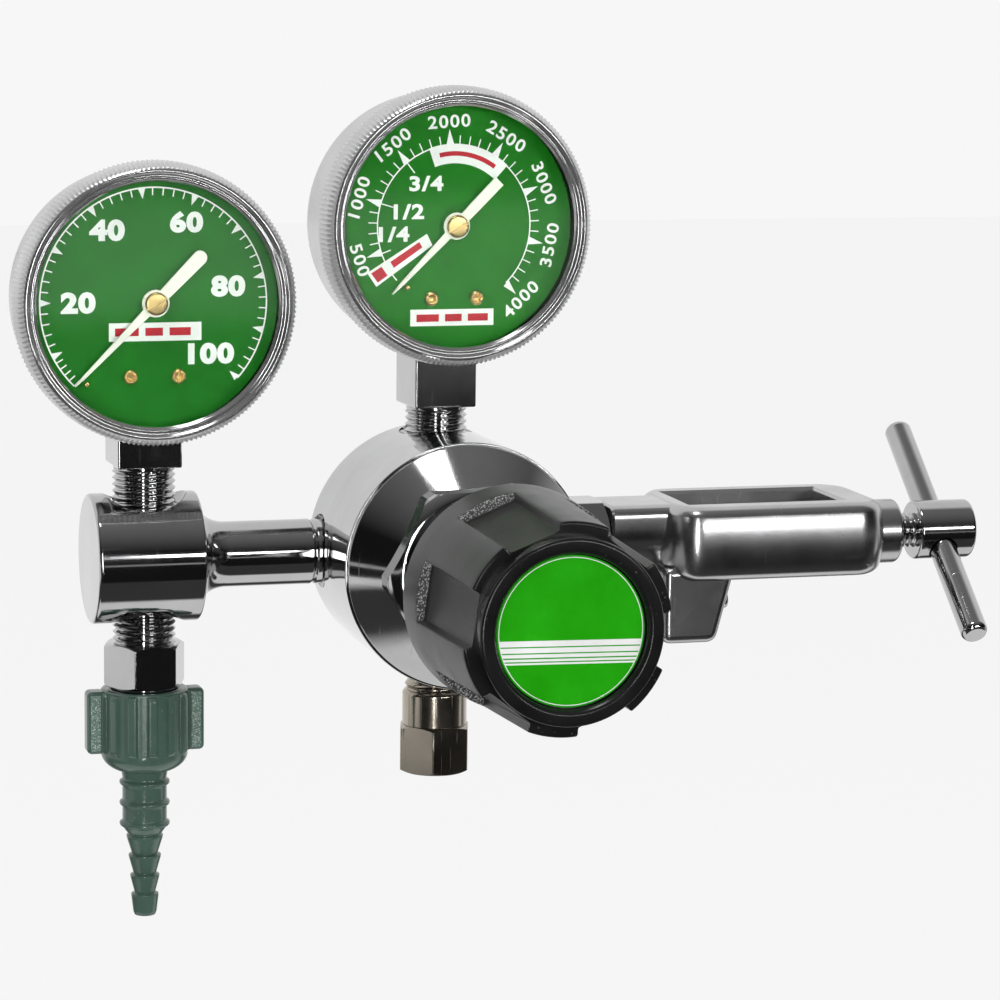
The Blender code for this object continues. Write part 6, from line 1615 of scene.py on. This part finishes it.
class SpringOperator(bpy.types.Operator):
    """Make the springs and the diaphragm"""

    bl_idname = "regulator.springs"
    bl_label = "Springs"

    def execute(self, context):
        for name, (joint, place, wire, turns) in SPRINGS.items():
            low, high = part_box(name)
            radius = (high.x - low.x) / 2 / mm - wire
            if place == FRONT:
                shape = coil(radius, wire, -high.y / mm, -low.y / mm, turns)
            else:
                shape = coil(radius, wire, low.z / mm, high.z / mm, turns)
            made = piece(name + "_coil", shape, place, "bright_steel", "regulator", name)
            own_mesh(made)
        low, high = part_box("diaphragm")
        thickness = high.y - low.y
        shape = diaphragm_shape(-low.y / mm, thickness / mm, (high.x - low.x) / 2 / mm)
        made = piece("diaphragm_disc", shape, FRONT, "black_rubber", "regulator", "diaphragm")
        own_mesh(made)
        return {"FINISHED"}


# Studio

CAMERA_PLACE = Vector((-0.2706, -0.7510, 0.1300))
CAMERA_TARGET = Vector((-0.0523, 0.0, 0.00999))
CAMERA_ROLL = 0.71
CAMERA_LENS = 128.1
CAMERA_SENSOR = 36.0
FLOOR_TONE = (0.90, 0.90, 0.90)
FLOOR_SMUDGE = (0.89, 0.89, 0.89)
FLOOR_BACK = 3.0
FLOOR_FRONT = -0.24
FLOOR_HALF = 3.0
# Name, place, target, width, height and the setting that holds its power
LAMPS = (
    ("overhead_lamp", (-0.19, -0.22, 0.80), (-0.08, 0, 0), 0.22, 0.20, "overhead_power"),
    ("strip_lamp", (0.28, -0.87, 0.16), (0, 0, 0), 0.50, 0.06, "strip_power"),
    ("front_lamp", (-0.33, -0.92, 0.04), (-0.07, 0, 0.02), 0.07, 0.50, "front_power"),
)


def area_lamp(name, place, target, width, height, power):
    lamp = bpy.data.lights.new(name, "AREA")
    lamp.shape = "RECTANGLE"
    lamp.size = width
    lamp.size_y = height
    lamp.energy = power
    obj = bpy.data.objects.new(name, lamp)
    obj.location = place
    obj.rotation_euler = (Vector(target) - Vector(place)).to_track_quat("-Z", "Y").to_euler()
    bpy.context.scene.collection.objects.link(obj)


def background(tree, level):
    """A white background of one level, or of another node's."""
    made = tree.nodes.new("ShaderNodeBackground")
    made.inputs["Color"].default_value = (1.0, 1.0, 1.0, 1.0)
    if isinstance(level, bpy.types.NodeSocket):
        tree.links.new(level, made.inputs["Strength"])
    else:
        made.inputs["Strength"].default_value = level
    return made.outputs["Background"]


def studio_world(level):
    """A pale set behind and a dark room before the object, with a plain backdrop for the camera."""
    world = bpy.data.worlds.new("studio")
    bpy.context.scene.world = world
    world.use_nodes = True
    tree = world.node_tree
    tree.nodes.clear()
    way = split_axes(tree, own_place(tree, "Generated"))
    behind = map_range(tree, way["Y"], -0.05, 0.22, 0.0, 1.0)
    above = map_range(tree, way["Z"], 0.30, 0.95, 0.0, 1.0)
    room = math_node(tree, "ADD", 0.012, math_node(tree, "MULTIPLY", above, 0.22))
    off_strip = math_node(tree, "ABSOLUTE", math_node(tree, "ADD", way["Z"], 0.085), 0.0)
    strip = map_range(tree, off_strip, 0.012, 0.022, 0.55, 0.0)
    pale = math_node(tree, "MULTIPLY", behind, level)
    seen = math_node(tree, "MAXIMUM", math_node(tree, "MAXIMUM", room, strip), pale)
    soft = math_node(tree, "MULTIPLY", light_path(tree, "Is Diffuse Ray"), 0.38)
    seen = math_node(tree, "MAXIMUM", seen, soft)
    either = mix_shader(tree, light_path(tree, "Is Camera Ray"), background(tree, seen),
                        background(tree, level))
    out = tree.nodes.new("ShaderNodeOutputWorld")
    tree.links.new(either, out.inputs["Surface"])


def floor_finish(level):
    tree, shader = new_finish("studio_floor", FLOOR_TONE, 0.0, Roughness=0.9)
    grain = surface(tree, 5.0, 200.0)
    tone_mix = mix_colour(tree, grain.outputs["Smudge"], FLOOR_TONE, FLOOR_SMUDGE)
    tree.links.new(tone_mix, shader.inputs["Base Color"])
    glow = tree.nodes.new("ShaderNodeEmission")
    glow.inputs["Strength"].default_value = min(1.0, 1.02 * level)
    share = math_node(tree, "MULTIPLY", light_path(tree, "Is Camera Ray"), 0.88)
    either = mix_shader(tree, share, shader.outputs["BSDF"], glow.outputs["Emission"])
    # Metal sees a white strip under the object, dark cards round it, and the white backdrop beyond
    # and at the left
    place = split_axes(tree, own_place(tree))
    strip = math_node(tree, "MULTIPLY", map_range(tree, place["Y"], -0.060, -0.045, 0.0, 1.0),
                      map_range(tree, place["Y"], 0.055, 0.085, 1.0, 0.0))
    strip = math_node(tree, "MULTIPLY", strip, map_range(tree, place["X"], -0.26, -0.24, 0.0, 1.0))
    far = map_range(tree, place["Y"], 0.14, 0.30, 0.0, 1.0)
    aside = map_range(tree, place["X"], -0.62, -0.48, 1.0, 0.0)
    pale = math_node(tree, "MAXIMUM", math_node(tree, "MAXIMUM", strip, far), aside)
    seen = math_node(tree, "ADD", 0.06, math_node(tree, "MULTIPLY", pale, level))
    cards = tree.nodes.new("ShaderNodeEmission")
    tree.links.new(seen, cards.inputs["Strength"])
    final = mix_shader(tree, light_path(tree, "Is Glossy Ray"), either, cards.outputs["Emission"])
    tree.links.new(final, tree.nodes["Material Output"].inputs["Surface"])


class StudioOperator(bpy.types.Operator):
    """Make the floor, lamps, world and camera"""

    bl_idname = "regulator.studio"
    bl_label = "Studio"

    def execute(self, context):
        set_up = studio()
        studio_world(set_up.backdrop)
        floor_finish(set_up.backdrop)
        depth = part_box("hose_barb")[0].z - set_up.floor_drop
        mesh = bpy.data.meshes.new("floor")
        corners = [(-FLOOR_HALF, FLOOR_FRONT, depth), (FLOOR_HALF, FLOOR_FRONT, depth),
                   (FLOOR_HALF, FLOOR_BACK, depth), (-FLOOR_HALF, FLOOR_BACK, depth)]
        mesh.from_pydata(corners, [], [(0, 1, 2, 3)])
        mesh.materials.append(bpy.data.materials["studio_floor"])
        floor = bpy.data.objects.new("floor", mesh)
        context.scene.collection.objects.link(floor)
        for name, place, target, width, height, setting in LAMPS:
            area_lamp(name, place, target, width, height, getattr(set_up, setting))
        camera = bpy.data.cameras.new("camera")
        camera.lens = CAMERA_LENS
        camera.sensor_width = CAMERA_SENSOR
        camera.clip_start = 0.01
        eye = bpy.data.objects.new("camera", camera)
        aim = (CAMERA_TARGET - CAMERA_PLACE).to_track_quat("-Z", "Y").to_matrix().to_4x4()
        eye.matrix_world = Matrix.Translation(CAMERA_PLACE) @ aim @ turned_by(CAMERA_ROLL, "Z")
        context.scene.collection.objects.link(eye)
        context.scene.camera = eye
        context.scene.view_settings.view_transform = "Standard"
        return {"FINISHED"}


OPERATORS = (BodyOperator, KnobOperator, OutletOperator, HoseOperator, ReliefOperator, InletOperator,
             ClampOperator, GaugeOperator, DialOperator, InsideOperator, SpringOperator, StudioOperator)


class RegulatorPanel(bpy.types.Panel):
    """Lists the regulator's pieces and its studio"""

    bl_idname = "VIEW3D_PT_regulator"
    bl_label = "Oxygen regulator"
    bl_space_type = "VIEW_3D"
    bl_region_type = "UI"
    bl_category = "Regulator"

    def draw(self, context):
        for operator in OPERATORS:
            self.layout.operator(operator.bl_idname)
        for group in (colours(), details(), studio()):
            box = self.layout.box()
            for name in group.bl_rna.properties.keys():
                if name not in ("rna_type", "name"):
                    box.prop(group, name)


CLASSES = (RegulatorColours, RegulatorDetails, RegulatorStudio, *OPERATORS, RegulatorPanel)


def register():
    for each in CLASSES:
        bpy.utils.register_class(each)
    bpy.types.Scene.regulator_colours = PointerProperty(type=RegulatorColours)
    bpy.types.Scene.regulator_details = PointerProperty(type=RegulatorDetails)
    bpy.types.Scene.regulator_studio = PointerProperty(type=RegulatorStudio)


def unregister():
    del bpy.types.Scene.regulator_colours
    del bpy.types.Scene.regulator_details
    del bpy.types.Scene.regulator_studio
    for each in reversed(CLASSES):
        bpy.utils.unregister_class(each)


def main():
    register()
    make_finishes()
    for operator in OPERATORS:
        family, name = operator.bl_idname.split(".")
        getattr(getattr(bpy.ops, family), name)()


if __name__ == "__main__":
    main()
